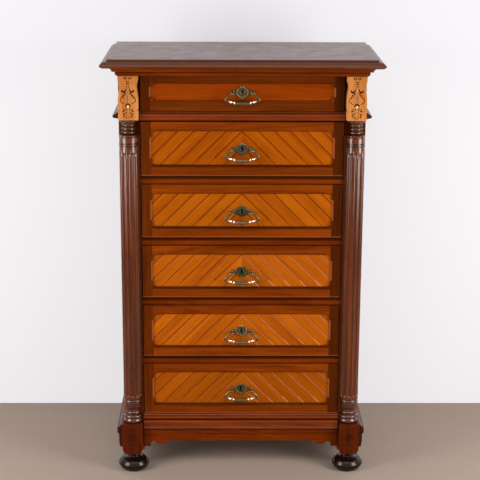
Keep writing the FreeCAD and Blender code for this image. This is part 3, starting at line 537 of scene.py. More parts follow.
def polished_wood(name, dark, light, pore_and_shade, lay=LEVEL, contrast=1.0, rough=0.34, coat=0.0, coat_rough=0.12,
                  coat_index=1.5, gloss=0.12, warmth=(1.0, 0.6, 0.32), worn_arris_and_highlight=None, arris_strength=0.6,
                  dirt_and_shade=0.7, reach=0.012, radius=0.0014, panel=None):
    """Polished wood whose grain lies as lay says, or along the slanting boards of a panel."""
    material, tree, shader, where = new_material(name)
    laid = lay(tree, where) if callable(lay) else lay
    if panel:
        boards = fill(tree, BOARD_TINT, {
            "Vector": where, "Top": panel["top"], "Seed": panel["seed"], "Pitch": BOARD_PITCH * MM})
        grained = boards["Vector"]
    else:
        grained = fill(tree, GRAIN_TURN, {
            "Vector": where, "Upright": laid.get("upright", 0.0), "Deep": laid.get("deep", 0.0)})["Vector"]
    figure = fill(tree, WOOD_FIGURE, {
        "Vector": grained, "Dark": shade(dark), "Light": shade(light), "Pore": shade(pore_and_shade),
        "Contrast": contrast})
    edges = fill(tree, EDGE_AND_RECESS_MASKS, {"Vector": where, "Radius": radius, "Reach": reach})
    colour = figure["Color"]
    if panel:
        colour = board_colours(tree, where, colour, boards, panel)
    # the lay's dark mask: darker tone, painted shade and shadow, and painted light on the posts
    if "dark" in laid:
        colour = mixed(tree, laid["dark"], colour, laid.get("shade", pore_and_shade))
    # painted highlights on arrises and chamfers
    if "highlit" in laid:
        colour = mixed(tree, laid["highlit"], colour, worn_arris_and_highlight)
    clouds = between(tree, speckle(tree, where, 4.5, 3), 0.3, 0.7, 0.0, 0.16)
    colour = mixed(tree, clouds, colour, pore_and_shade)
    # worn arrises, partly painted highlight
    if worn_arris_and_highlight:
        colour = mixed(tree, times(tree, edges["Worn and highlit"], arris_strength), colour, worn_arris_and_highlight)
    # grime and painted shade in the recesses
    colour = mixed(tree, times(tree, edges["Dirt and shade"], dirt_and_shade), colour, pore_and_shade)
    smudge = between(tree, speckle(tree, where, 16.0, 4, 0.6), 0.3, 0.75, rough - 0.05, rough + 0.09)
    wire(tree, shader, {
        "Base Color": colour, "Roughness": calc(tree, "MULTIPLY_ADD", edges["Dirt and shade"], 0.25, smudge),
        "Normal": bump(tree, figure["Height"], edges["Normal"], strength=0.18, distance=0.0004),
        "Specular IOR Level": gloss, "Specular Tint": (*warmth, 1.0), "Coat Weight": coat,
        "Coat Roughness": coat_rough, "Coat IOR": coat_index})
    return material


# dark pore colours, which also paint shade; the arris colour for wear and painted highlights
PORE_AND_SHADE = (30, 9, 1)
WORN_ARRIS_AND_HIGHLIGHT = (176, 96, 58)
RAIL_TONES = ((84, 27, 2), (134, 54, 5), PORE_AND_SHADE)
SIDE_TONES = ((70, 24, 3), (108, 42, 7), PORE_AND_SHADE)
BIRCH_PORE_AND_SHADE = (120, 52, 12)

rail_wood = polished_wood("mahogany_rails", *RAIL_TONES, worn_arris_and_highlight=WORN_ARRIS_AND_HIGHLIGHT)
cross_rail_wood = polished_wood("mahogany_cross_rails", *RAIL_TONES, cross_rail, worn_arris_and_highlight=WORN_ARRIS_AND_HIGHLIGHT)
moulding_wood = polished_wood(
    "mahogany_mouldings", *RAIL_TONES, moulding, coat=0.2, worn_arris_and_highlight=WORN_ARRIS_AND_HIGHLIGHT)
front_wood = polished_wood(
    "mahogany_drawer_fronts", (96, 34, 2), (148, 66, 6), PORE_AND_SHADE, drawer_front, worn_arris_and_highlight=WORN_ARRIS_AND_HIGHLIGHT)
side_wood = polished_wood("mahogany_sides", *SIDE_TONES, side_frame, worn_arris_and_highlight=WORN_ARRIS_AND_HIGHLIGHT, dirt_and_shade=0.2)
upright_wood = polished_wood("mahogany_upright", *SIDE_TONES, UPRIGHT, worn_arris_and_highlight=WORN_ARRIS_AND_HIGHLIGHT)
top_wood = polished_wood(
    "mahogany_top", (84, 36, 10), (106, 50, 16), PORE_AND_SHADE, contrast=0.5, coat=0.2, gloss=0.4,
    warmth=(1, 0.78, 0.62), worn_arris_and_highlight=(168, 96, 70), arris_strength=0.55)
column_wood = polished_wood(
    "mahogany_columns", (70, 26, 3), (122, 54, 8), PORE_AND_SHADE, turned_column, rough=0.24, coat=1.0,
    coat_rough=0.2, coat_index=1.55, gloss=0.1, worn_arris_and_highlight=(150, 84, 50), reach=0.008, radius=0.0008)
foot_block_wood = polished_wood(
    "mahogany_foot_blocks", (66, 20, 5), (100, 36, 9), PORE_AND_SHADE, UPRIGHT, worn_arris_and_highlight=(120, 56, 30))
foot_wood = polished_wood(
    "dark_wood_feet", (18, 7, 3), (30, 13, 6), (10, 4, 2), rough=0.2, coat=0.4, gloss=0.1,
    worn_arris_and_highlight=(60, 34, 20), radius=0.001)
block_wood = polished_wood(
    "birch_capital_blocks", (184, 112, 52), (222, 152, 88), BIRCH_PORE_AND_SHADE, UPRIGHT, contrast=1.2,
    worn_arris_and_highlight=(240, 176, 116))
# the gouges' cut faces are painted dark, as shade in the cuts
carved_wood = polished_wood("birch_carving", (66, 20, 6), (98, 38, 12), (30, 10, 4), UPRIGHT, rough=0.5)
carved_red = polished_wood("mahogany_carving", (34, 10, 3), (52, 16, 5), (20, 6, 2), UPRIGHT, rough=0.5)
# near-white birch on the buds, partly a painted highlight
bud_wood = polished_wood("birch_bud", (226, 196, 140), (246, 226, 180), BIRCH_PORE_AND_SHADE, UPRIGHT, coat=0.6)
drop_wood = polished_wood("birch_drop", (190, 118, 12), (220, 150, 24), BIRCH_PORE_AND_SHADE, UPRIGHT)
inner_wood = polished_wood(
    "plain_inner_wood", (150, 112, 70), (184, 146, 98), (96, 66, 38), DEEP, rough=0.6,
    worn_arris_and_highlight=(200, 168, 124))
back_wood = polished_wood(
    "plain_back_wood", (128, 92, 56), (164, 126, 82), (84, 56, 32), UPRIGHT, rough=0.65,
    worn_arris_and_highlight=(184, 150, 108))
plain_panel_wood = polished_wood(
    "birch_panel_1", (126, 44, 1), (158, 68, 4), (84, 24, 1), contrast=0.8, worn_arris_and_highlight=(200, 110, 40),
    dirt_and_shade=0.5, reach=0.014)

PANEL_ABOVE_PLATE = 59.0
PANEL_TINTS = {
    # darkest, lightest and the tint that some boards turn to
    2: ((134, 60, 2), (172, 86, 5), (186, 100, 10)),
    3: ((140, 65, 3), (180, 93, 8), (194, 106, 13)),
    4: ((146, 68, 5), (188, 98, 12), (200, 110, 18)),
    5: ((148, 68, 5), (190, 98, 12), (202, 110, 18)),
    6: ((132, 59, 2), (168, 84, 5), (180, 96, 10)),
}
HIGHLIT_PANELS = (4, 5, 6)


def panel_wood(drawer):
    """The birch of a deep drawer's panel; the lower panels get painted highlights at the seams and
    arrises.
    """
    dark, light, other = PANEL_TINTS[drawer]
    highlit = drawer in HIGHLIT_PANELS
    boards = {"top": (PLATE_HEIGHTS[drawer] + PANEL_ABOVE_PLATE) * MM, "seed": drawer * 5.0,
              "other": other, "pale": (236, 170, 130) if highlit else None}
    return polished_wood(f"birch_panel_{drawer}", dark, light, (108, 26, 2), dirt_and_shade=0.5, arris_strength=0.5,
                         worn_arris_and_highlight=(232, 150, 110) if highlit else None, reach=0.014, panel=boards)


panel_woods = {drawer: panel_wood(drawer) for drawer in PANEL_TINTS}


# ---- Metals ----

def metal(name, base, bright, dull, rough=0.3, cover=0.6):
    """Cast metal: bright where it is worn, dull and tarnished where it is not."""
    material, tree, shader, where = new_material(name)
    edges = fill(tree, EDGE_AND_RECESS_MASKS, {"Vector": where, "Radius": 0.0007, "Reach": 0.004})
    tarnish = times(tree, between(tree, speckle(tree, where, 130.0, 4, 0.62), 0.38, 0.62), cover)
    colour = mixed(tree, tarnish, base, dull)
    colour = mixed(tree, times(tree, edges["Worn and highlit"], 0.8), colour, bright)
    colour = mixed(tree, times(tree, edges["Dirt and shade"], 0.8), colour, (28, 22, 14))
    pits = speckle(tree, where, 620.0, 2)
    wire(tree, shader, {
        "Base Color": colour, "Roughness": calc(tree, "MULTIPLY_ADD", tarnish, 0.28, rough),
        "Metallic": calc(tree, "MULTIPLY_ADD", tarnish, -0.35, 1.0),
        "Normal": bump(tree, pits, edges["Normal"], strength=0.3, distance=0.0003)})
    return material


PLATE_TINTS = {1: (98, 96, 48), 2: (92, 86, 64), 3: (88, 82, 58),
               4: (84, 82, 48), 5: (106, 82, 50), 6: (88, 82, 50)}
GRIP_TINTS = {1: (98, 84, 52), 2: (128, 106, 86), 3: (124, 102, 80),
              4: (118, 104, 66), 5: (126, 100, 72), 6: (102, 88, 42)}
plate_metals = {
    drawer: metal(f"aged_brass_plate_{drawer}", tint, (210, 204, 176), (62, 58, 32), rough=0.36)
    for drawer, tint in PLATE_TINTS.items()}
grip_metals = {
    drawer: metal(f"aged_brass_grip_{drawer}", tint, (150, 134, 108), (84, 72, 46), rough=0.48, cover=0.8)
    for drawer, tint in GRIP_TINTS.items()}
bright_brass = metal(
    "aged_brass_bright", (240, 220, 200), (255, 246, 234), (176, 150, 116), rough=0.16, cover=0.25)
bead_metal = metal("aged_brass_beads", (168, 158, 118), (236, 226, 196), (80, 74, 44))
arm_brass = metal("aged_brass_arms", (114, 96, 62), (206, 188, 156), (66, 54, 32))
lock_iron_and_keyhole_shade = metal("lock_iron", (40, 35, 30), (100, 92, 84), (22, 18, 14), rough=0.6)


# ---- Finishes of the joiner's work ----

def finish(material, *names):
    """Gives nodes of the solid model a material."""
    for name in names:
        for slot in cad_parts[name].material_slots:
            slot.material = material


finish(top_wood, "top_board")
finish(rail_wood, "cornice_moulding", "front_apron")
finish(cross_rail_wood, "cross_rails")
finish(moulding_wood, "belt_mouldings", "base_mouldings")
finish(side_wood, "left_side_frame", "right_side_frame")
finish(upright_wood, "side_panels")
finish(foot_block_wood, "foot_blocks")
finish(back_wood, "back_boards")
finish(inner_wood, "bottom_board", "drawer_runners", "drawer_stops")
for drawer in DRAWERS:
    finish(front_wood, f"drawer_{drawer}_frame")
    finish(panel_woods.get(drawer, plain_panel_wood), f"drawer_{drawer}_panel")
    finish(inner_wood, f"drawer_{drawer}_box")
    finish(lock_iron_and_keyhole_shade, f"drawer_{drawer}_lock", f"drawer_{drawer}_bolt")


# ---- Columns ----

SHAFT = 31.0
RINGS_END = 260.0
FLUTES = 12
STEPS_PER_FLUTE = 16
FLUTE_HALF = 5
FLUTE_FULLNESS = 0.85
FLUTE_LOW, FLUTE_HIGH = 268.0, 1112.0
LOW_LEAF_FOOT, LOW_LEAF_HEAD = 262.0, 300.0
HIGH_LEAF_FOOT, HIGH_LEAF_HEAD = 1100.0, 1131.0
LEAF_HALF = 3.2
FLUTE_END_STEPS = (0, 0.6, 1.4, 2.4, 3.6, 5.2, 8)
GROOVE_DEPTH, GROOVE_FLOOR, GROOVE_LIP = 3.0, 1.4, 2.4


def shaft_rings():
    """Heights of the rings of the fluted shaft: close together where the flutes and leaves end."""
    rings = {RINGS_END}
    rings.update(FLUTE_LOW + step for step in FLUTE_END_STEPS + (14, 20, 28, 36))
    rings.update(range(340, 1061, 40))
    rings.update(HIGH_LEAF_FOOT - step for step in (14, 8, 2))
    rings.update(FLUTE_HIGH - step for step in FLUTE_END_STEPS + (11,))
    rings.update((1114, 1117, 1120, 1124, 1128))
    return sorted(rings)


BASE_RINGS = [
    # radius beyond the shaft's, height above the foot, and swell
    (-3, 0), (-2, 15, 3.5), (-3, 16.5), (-4, 31, 5), (-7, 32.5), (-7, 43, 3.2), (-6, 44.5),
    (-1.5, 58, -2.6), (-1.5, 73), (-3.5, 75), (-3.5, 85, 3.4), (-1, 86.5),
]
HEAD_RINGS = [
    # the same, with the height from the head
    (0, -60), (-2, -59), (-2, -55.5), (-3, -51, 1.2), (-8, -49.5), (-12, -48.5), (-12.2, -36.5, 5),
    (-12, -23.5, 5), (-9.5, -21.5), (-9, -16.5, 1), (-8.5, -15), (-3.5, -9, -1), (-2.5, -5.5, 1.2),
    (-3.5, -3.5), (-4, 0),
]


def rings_from(end, rings):
    """Rings measured from the shaft's radius and from an end of the column, as a profile."""
    return swelled([(SHAFT + beyond, end + rise, *swell) for beyond, rise, *swell in rings])


def column_profile():
    """Base rings, shaft, two grooves and head rings, as (radius, height)."""
    shaft = [(SHAFT, height) for height in shaft_rings()]
    floor = SHAFT - GROOVE_DEPTH
    for groove in GROOVES:
        shaft += [(SHAFT, groove - GROOVE_LIP), (floor, groove - GROOVE_FLOOR),
                  (floor, groove + GROOVE_FLOOR), (SHAFT, groove + GROOVE_LIP)]
    return ([(0, COLUMN_FOOT)] + rings_from(COLUMN_FOOT, BASE_RINGS) + shaft
            + rings_from(COLUMN_HEAD, HEAD_RINGS) + [(0, COLUMN_HEAD)])


def leaf_depth(from_ridge, leaf, depth):
    """Depth of the leaf cut between two flutes, where it is leaf steps wide on each side."""
    return depth * (1 - from_ridge / leaf) if from_ridge < leaf else 0.0


def flute_depth(angle, height):
    """How far the shaft is cut in at an angle from the front and a height."""
    turned = math.degrees(angle) / (360 / FLUTES)
    from_middle = abs((turned + 0.5) % 1 - 0.5) * STEPS_PER_FLUTE
    from_ridge = abs(turned % 1 - 0.5) * STEPS_PER_FLUTE
    step = math.radians(360 / (FLUTES * STEPS_PER_FLUTE)) * SHAFT
    half = FLUTE_HALF * step
    depth = 0.0
    end = min(height - FLUTE_LOW, FLUTE_HIGH - height)
    if end > 0:
        short = max(0.0, half - end)
        round_left = half ** 2 - (from_middle * step) ** 2 - short ** 2
        depth = math.sqrt(max(0.0, round_left)) * FLUTE_FULLNESS
    if HIGH_LEAF_FOOT < height < HIGH_LEAF_HEAD:
        leaf = LEAF_HALF * (HIGH_LEAF_HEAD - height) / (HIGH_LEAF_HEAD - HIGH_LEAF_FOOT)
        depth = max(depth, leaf_depth(from_ridge, leaf, 1.3))
    if LOW_LEAF_FOOT < height < LOW_LEAF_HEAD:
        leaf = LEAF_HALF * (height - LOW_LEAF_FOOT) / (LOW_LEAF_HEAD - LOW_LEAF_FOOT)
        depth = max(depth, leaf_depth(from_ridge, leaf, min(1, (LOW_LEAF_HEAD - height) / 8)))
    return depth


def column(side, name):
    """A turned and fluted column, cut flat at the back where it lies against its post."""
    mesh = bmesh.new()
    turn(mesh, column_profile(), FLUTES * STEPS_PER_FLUTE)
    for vert in mesh.verts:
        angle = math.atan2(vert.co.x, -vert.co.y)
        vert.co.xy *= 1 - flute_depth(angle, vert.co.z) / SHAFT
    bmesh.ops.translate(mesh, vec=(side * COLUMN_X, COLUMN_Y, 0), verts=mesh.verts)
    everything = mesh.verts[:] + mesh.edges[:] + mesh.faces[:]
    cut = bmesh.ops.bisect_plane(mesh, geom=everything, dist=MERGED, plane_co=(0, POST_FACE, 0),
                                 plane_no=Y_AXIS, clear_outer=True)
    rim = [item for item in cut["geom_cut"] if isinstance(item, bmesh.types.BMEdge)]
    bmesh.ops.contextual_create(mesh, geom=rim)
    bmesh.ops.holes_fill(mesh, edges=[edge for edge in mesh.edges if edge.is_boundary], sides=0)
    piece(mesh, name + "_turned", "case", [column_wood], name, smooth=32)


column(-1, "left_column")
column(1, "right_column")


# ---- Feet ----

REAR_FOOT_X, REAR_FOOT_Y = 371.0, 198.0
REAR_FOOT_HALF, REAR_FOOT_FLARE = 22.0, 6.0
BUN_PROFILE = swelled([
    (0, 0), (33, 0), (40, 4, 1), (47.5, 12, 1.5), (48, 32, 4.4), (37, 41, 2), (22, 47.5, -2),
    (20.5, 50), (20.5, 57, 2.2), (17.5, 59), (17, FOOT_TOP), (0, FOOT_TOP)])


def rear_foot(mesh, x, y):
    """A square block that widens from the floor up, with its edges eased."""
    verts = block(mesh, (x - REAR_FOOT_HALF, y - REAR_FOOT_HALF, 0),
                  (x + REAR_FOOT_HALF, y + REAR_FOOT_HALF, FOOT_TOP))
    for vert in verts:
        if vert.co.z > FOOT_TOP / 2:
            vert.co.x += math.copysign(REAR_FOOT_FLARE, vert.co.x - x)
            vert.co.y += math.copysign(REAR_FOOT_FLARE, vert.co.y - y)
    eased(mesh, [edge for edge in mesh.edges if edge.verts[0] in verts], 1.5)


def feet():
    """Two turned bun feet under the front posts and two tapered blocks under the rear posts."""
    mesh = bmesh.new()
    for side in (-1, 1):
        turn(mesh, BUN_PROFILE, 96, centre=(side * COLUMN_X, COLUMN_Y, 0))
        rear_foot(mesh, side * REAR_FOOT_X, REAR_FOOT_Y)
    piece(mesh, "turned_feet", "case", [foot_wood], "feet")


feet()


# ---- Carved blocks ----

GOUGE_LIFT = 0.15


def mirrored(strokes):
    """Each stroke and its mirror across the middle of the block; one down the middle stays single."""
    for thickness, points in strokes:
        yield thickness, points
        if any(x for x, rise in points):
            yield thickness, [(-x, rise) for x, rise in points]


def gouges(strokes, middle, foot):
    """Lines of tapering cuts along strokes on the face of a block."""
    lines = []
    for thickness, points in mirrored(strokes):
        last = len(points) - 1
        tip = 0.85 if last == 1 else 0.5
        depth = BLOCK_FACE - GOUGE_LIFT * thickness
        lines.append([(middle + x, depth, foot + rise, thickness * (1.0 if 0 < index < last else tip))
                      for index, (x, rise) in enumerate(points)])
    return lines


CAPITAL_STROKES = [
    # thickness, and points of (distance from the middle, height above the block's foot)
    (2.0, [(5, 131.5), (8.5, 135), (11.5, 139.5)]),
    (1.8, [(2.4, 133), (3.4, 137), (3.0, 141)]),
    (1.3, [(8, 141), (11, 138), (12.6, 134)]),
    (1.9, [(-5.4, 126.2), (0, 124.6), (5.4, 126.2)]),
    (1.9, [(-5.6, 119.6), (0, 118.4), (5.6, 119.6)]),
    (1.2, [(2.6, 116), (2.4, 110), (4.6, 103)]),
    (2.9, [(5, 102), (8.6, 94.6), (13.8, 91.6), (18.4, 95.2), (16.6, 99)]),
    (1.3, [(3.2, 92), (9.4, 83.4), (15.4, 74.6), (19.4, 69.6)]),
    (2.4, [(8.6, 90), (11.2, 86.6)]),
    (2.5, [(13.4, 84.6), (16, 80.6)]),
    (2.5, [(18, 78.4), (20.6, 74)]),
    (2.6, [(22.2, 72), (24, 67)]),
    (2.5, [(24.6, 64.6), (23, 60)]),
    (2.4, [(20.8, 58.6), (17.4, 56)]),
    (2.1, [(14.6, 54.8), (11.2, 53.6)]),
    (1.3, [(0, 81.5), (0, 65)]),
    (1.4, [(0, 62), (0, 57)]),
    (3.0, [(-7.6, 44.6), (-5, 50.2), (0, 52.6), (5, 50.2), (7.6, 44.6)]),
    (1.5, [(4.6, 42), (5.4, 36), (8.4, 31.6)]),
    (2.8, [(10.6, 33), (14.4, 30.4), (18.6, 30.6)]),
    (1.3, [(9, 39.6), (12.4, 37), (16.8, 37.4)]),
    (1.5, [(2.6, 28), (6.4, 25), (7.2, 19)]),
    (2.2, [(9.6, 21.6), (16.2, 22)]),
    (2.2, [(10.2, 16.4), (16.4, 16.4)]),
    (2.0, [(10, 11.4), (14.6, 10.8)]),
    (1.2, [(5.6, 17), (6.2, 10), (3, 5)]),
    (2.6, [(29.5, 31.4), (36, 32.4)]),
]
CAPITAL_PROFILE = [(half, COLUMN_HEAD + rise) for half, rise in (
    (30.6, 0), (32.2, 2.5), (32.5, 8), (32.5, 27), (29.8, 31), (32.5, 36), (32.5, 66), (31, 84),
    (28.6, 98), (27.6, 110), (29.6, 118), (32, 126), (32.5, 133))] + [(32.5, CORNICE_FOOT)]
FOOT_STROKES = [
    (1.2, [(0, 77), (0, 55)]), (1.2, [(4, 76), (2.5, 56)]), (1.2, [(9, 74), (5, 56)]),
    (1.2, [(14, 69), (8, 55)]), (1.1, [(17, 62), (11, 53)]),
    (1.5, [(-12, 47), (-5, 50), (0, 50.6), (5, 50), (12, 47)]),
    (1.4, [(-11, 33), (-5, 36.5), (0, 37.4), (5, 36.5), (11, 33)]),
    (1.0, [(-15, 87), (0, 88.5), (15, 87)]),
]
FOOT_BLOCK_PROFILE = [(half, FOOT_TOP + rise) for half, rise in (
    (26, 0), (29.5, 4), (32.8, 12), (34.3, 21), (35, 30))] + [(35, COLUMN_FOOT - 3), (33, COLUMN_FOOT)]
BUD_RISE, DROP_RISE = 44.5, 12.0


def shaped_block(mesh, middle, profile):
    """A block whose outline on the front is a list of half widths and heights."""
    outline = profile + [(-x, z) for x, z in reversed(profile)]
    back = mesh.faces.new([mesh.verts.new((middle + x, POST_FACE, z)) for x, z in outline])
    made = bmesh.ops.extrude_face_region(mesh, geom=[back])["geom"]
    moved = [item for item in made if isinstance(item, bmesh.types.BMVert)]
    bmesh.ops.translate(mesh, vec=(0, BLOCK_FACE - POST_FACE, 0), verts=moved)
    front = [edge for edge in mesh.edges if all(end in moved for end in edge.verts)]
    eased(mesh, front, 1.2)


def carved_blocks(name, node, across, profile, strokes, materials):
    """The left and right block of a pair, with strokes carved in the face."""
    for middle, hand in ((-across, "left"), (across, "right")):
        mesh = bmesh.new()
        shaped_block(mesh, middle, profile)
        made = piece(mesh, f"{hand}_{name}", "case", materials, node)
        carve(made, bent_rods(gouges(strokes, middle, profile[0][1]), 1.0, 2), materials[1])


def applied_drops(name, rise, squash, material):
    """A rounded drop on the face of each capital block."""
    mesh = bmesh.new()
    for side in (-1, 1):
        bead(mesh, (side * CAPITAL_X, BLOCK_FACE + 0.6, COLUMN_HEAD + rise), 4.4, squash, fine=3)
    piece(mesh, name, "case", [material])


carved_blocks("carved_capital", "capital_blocks", CAPITAL_X, CAPITAL_PROFILE, CAPITAL_STROKES,
              [block_wood, carved_wood])
applied_drops("capital_buds", BUD_RISE, (0.95, 0.7, 1.3), bud_wood)
applied_drops("capital_drops", DROP_RISE, (0.9, 0.6, 1.7), drop_wood)
carved_blocks("carved_foot_block", "foot_blocks", FOOT_BLOCK_X, FOOT_BLOCK_PROFILE, FOOT_STROKES,
              [foot_block_wood, carved_red])


# ---- Keyhole plates ----

Style = namedtuple("Style", "half_width rim_beads crown drop ear_beads")
PLATES = {
    # half width, beads round the rim, bumps over the top, size of the drop below, beads on each ear
    1: Style(22.4, 30, 3, 2.4, 4),
    2: Style(20.0, 0, 5, 1.8, 4),
    3: Style(20.2, 0, 0, 0, 3),
    4: Style(20.0, 0, 2, 3.6, 4),
    5: Style(20.2, 30, 3, 1.8, 3),
    6: Style(20.2, 24, 2, 2.8, 4),
}
PLAIN_PLATES = (3,)
ROUND = 20.5
PLATE_RISE = 18.4
RINGED_FACE = [
    (0, 2.0), (5.5, 2.0), (6.2, 2.9), (7.6, 2.9), (8.4, 1.7), (14.8, 1.9), (16.0, 2.9), (18.9, 2.7),
    (20.4, 1.2), (ROUND, 0), (0, 0),
]
PLAIN_FACE = [(0, 2.6), (10, 2.5), (17, 2.1), (20, 1.4), (ROUND, 0), (0, 0)]
RIM_RING, RIM_BEAD, RIM_LIFT = 17.6, 1.5, 2.7
CROWN_RING, CROWN_BEAD, CROWN_PITCH = 20.2, 2.4, 15
KEY_LIFT, KEY_ROUND, KEY_SLOT, KEY_FOOT = 4.5, 3.4, 3.3, 8.0
KEY_DEPTH, KEY_RIM, KEY_RIM_DEPTH = 8.0, 1.1, 0.9
POST_HALF, POST_DROP = 33.0, 1.5
POST_PROFILE = [
    (0, 0), (5.4, 0), (5.4, 1.6), (3.6, 3.0), (3.2, 16), (4.4, 18), (4.6, 24), (4.2, 27.4), (2.4, 29),
    (0, 29.2),
]
ARM_HALF, ARM_MIDDLE, ARM_THICKNESS = 8.0, 26.0, 1.6
EAR_BEADS = [(23.6, 2.5, 2.6), (27.4, 5.4, 2.4), (24.6, -5.4, 2.4), (31.0, 6.4, 2.2)]


def on_ring(radius, angle, lift):
    """A place on a ring about the middle of a plate, at an angle from the top."""
    return radius * math.sin(angle), PANEL_FACE - lift, radius * math.cos(angle)


def plate_beads(mesh, style):
    """Beads on the rim, bumps over the top and a drop below."""
    for index in range(style.rim_beads):
        angle = 2 * math.pi * index / style.rim_beads
        bead(mesh, on_ring(RIM_RING, angle, RIM_LIFT), RIM_BEAD, fine=1)
    for index in range(style.crown):
        from_top = index - (style.crown - 1) / 2
        place = on_ring(CROWN_RING, math.radians(from_top * CROWN_PITCH), 1)
        bead(mesh, place, CROWN_BEAD - 0.35 * abs(from_top), (1, 0.6, 1))
    if style.drop:
        bead(mesh, (0, PANEL_FACE - 1, -ROUND - style.drop / 2), style.drop, (0.9, 0.6, 1.15))


def key_way(middle):
    """The shape of the keyhole, with a wider and shallower one that leaves a step round it."""
    mesh = bmesh.new()
    for wider, start in ((0, -4), (KEY_RIM, 2 - KEY_RIM_DEPTH)):
        radius, end = KEY_ROUND + wider, KEY_DEPTH + wider
        turn(mesh, [(0, start), (radius, start), (radius, end), (0, end)], 24,
             centre=(0, PANEL_FACE, middle + KEY_LIFT), axis=-Y_AXIS)
        block(mesh, (-KEY_SLOT / 2 - wider, PANEL_FACE - end, middle - KEY_FOOT - wider),
              (KEY_SLOT / 2 + wider, PANEL_FACE - start, middle + KEY_LIFT))
    return in_metres(mesh, "key_way")


def keyhole_plate(drawer):
    """A round cast plate, drawn in to its own width, with its beads, and pierced for the key."""
    style, middle = PLATES[drawer], PLATE_HEIGHTS[drawer]
    mesh = bmesh.new()
    face = PLAIN_FACE if drawer in PLAIN_PLATES else RINGED_FACE
    turn(mesh, face, 64, centre=(0, PANEL_FACE, 0), axis=-Y_AXIS)
    plain_faces = len(mesh.faces)
    plate_beads(mesh, style)
    paint(mesh, 2, plain_faces)
    for vert in mesh.verts:
        vert.co.x *= style.half_width / ROUND
        vert.co.z = middle + vert.co.z * PLATE_RISE / ROUND
    made = piece(mesh, f"drawer_{drawer}_keyhole_plate", f"drawer_{drawer}",
                 [plate_metals[drawer], lock_iron_and_keyhole_shade, bead_metal], f"drawer_{drawer}_plate")
    # the keyhole's walls and the step round it take the dark lock iron: painted shade in the hole
    carve(made, key_way(middle), lock_iron_and_keyhole_shade)


def handle_posts(drawer):
    """The two posts of the bail, each on an arm from the plate with an ear of beads."""
    middle = PLATE_HEIGHTS[drawer]
    pivot = middle - POST_DROP
    mesh = bmesh.new()
    for side in (-1, 1):
        turn(mesh, POST_PROFILE, 20, centre=(side * POST_HALF, PANEL_FACE, pivot), axis=-Y_AXIS)
        arm = side * ARM_MIDDLE
        block(mesh, (arm - ARM_HALF, PANEL_FACE - ARM_THICKNESS, pivot - 2.6),
              (arm + ARM_HALF, PANEL_FACE, pivot + 4.6))
        for x, z, size in EAR_BEADS[:PLATES[drawer].ear_beads]:
            bead(mesh, (side * x, PANEL_FACE - 1.4, middle + z), size, (1, 0.8, 1))
    piece(mesh, f"drawer_{drawer}_handle_posts", f"drawer_{drawer}", [arm_brass])


# ---- Bails ----

ROD = 3.4
BAR_DROP, BAR_SAG, BAR_HALF = 33.0, 5.0, 44.0
PIN, PIN_LENGTH = 2.0, 10.4
PIN_BEAD, PIN_BEAD_AT = 3.7, 38.4
BEAD_AT, BEAD_ROUND = 36.5, 5.4
COLLARS = [
    # distance from the middle, and the profile as (radius, distance along the bar)
    (26, [(0, -2.8), (5.4, -2.8), (6.6, -1.4), (6.6, 1.4), (5.2, 2.8), (0, 2.8)]),
    (BEAD_AT, [(BEAD_ROUND * math.sin(math.radians(step)), -BEAD_ROUND * math.cos(math.radians(step)))
               for step in range(0, 181, 15)]),
    (43, [(0, -1.4), (3.6, -1.4), (4.2, 0), (3.6, 1.4), (0, 1.4)]),
]
GRIP_HALF = 22.5
STOUT_GRIP, GRIP = 6.8, 6.0


def bar_height(along):
    """The bar hangs lowest in the middle, and rises towards its beads."""
    return BAR_SAG * (along / BEAD_AT) ** 2


def bail_rods(mesh, pivot, low):
    """Two bowed arms and the sagging bar between them."""
    arm = [(x, PIVOT_Y, z, scale) for x, z, scale in (
        (37.4, pivot, 0.95), (42.5, pivot - 5, 1.05), (49.5, pivot - 12.5, 1.2), (54.0, pivot - 19, 1.1),
        (55.2, low + 10.5, 0.9), (51.5, low + 7.4, 0.85), (BAR_HALF, low + 6.2, 0.9))]
    other = [(-x, y, z, scale) for x, y, z, scale in arm]
    bar = [(x, PIVOT_Y, low + bar_height(x), 0.9) for x in (-BAR_HALF, -30, -15, 0, 15, 30, BAR_HALF)]
    data = bent_rods([arm, other, bar], ROD, 3)
    data.transform(Matrix.Scale(1 / MM, 4))
    mesh.from_mesh(data)
    bpy.data.meshes.remove(data)


def pivot_pins(mesh, pivot):
    """Short pins into the posts, each with a bead at the end of its arm."""
    for side in (-1, 1):
        turn(mesh, [(0, 0), (PIN, 0), (PIN, PIN_LENGTH), (0, PIN_LENGTH)], 16,
             centre=(side * POST_HALF - PIN_LENGTH / 2, PIVOT_Y, pivot), axis=X_AXIS)
        bead(mesh, (side * PIN_BEAD_AT, PIVOT_Y, pivot), PIN_BEAD)


def collars(mesh, low):
    """Collars and round beads along the bar."""
    for side in (-1, 1):
        for at, profile in COLLARS:
            turn(mesh, [(radius, side * (at + along)) for radius, along in profile], 28,
                 centre=(0, PIVOT_Y, low + bar_height(at)), axis=X_AXIS)


def grip(mesh, low, radius):
    """The plain grip in the middle of the bar."""
    half = [(0, GRIP_HALF), (radius - 1.2, GRIP_HALF), (radius - 0.4, 20), (radius, 10)]
    profile = [(across, -along) for across, along in half] + half[::-1]
    turn(mesh, profile, 28, centre=(0, PIVOT_Y, low - 0.4), axis=X_AXIS)


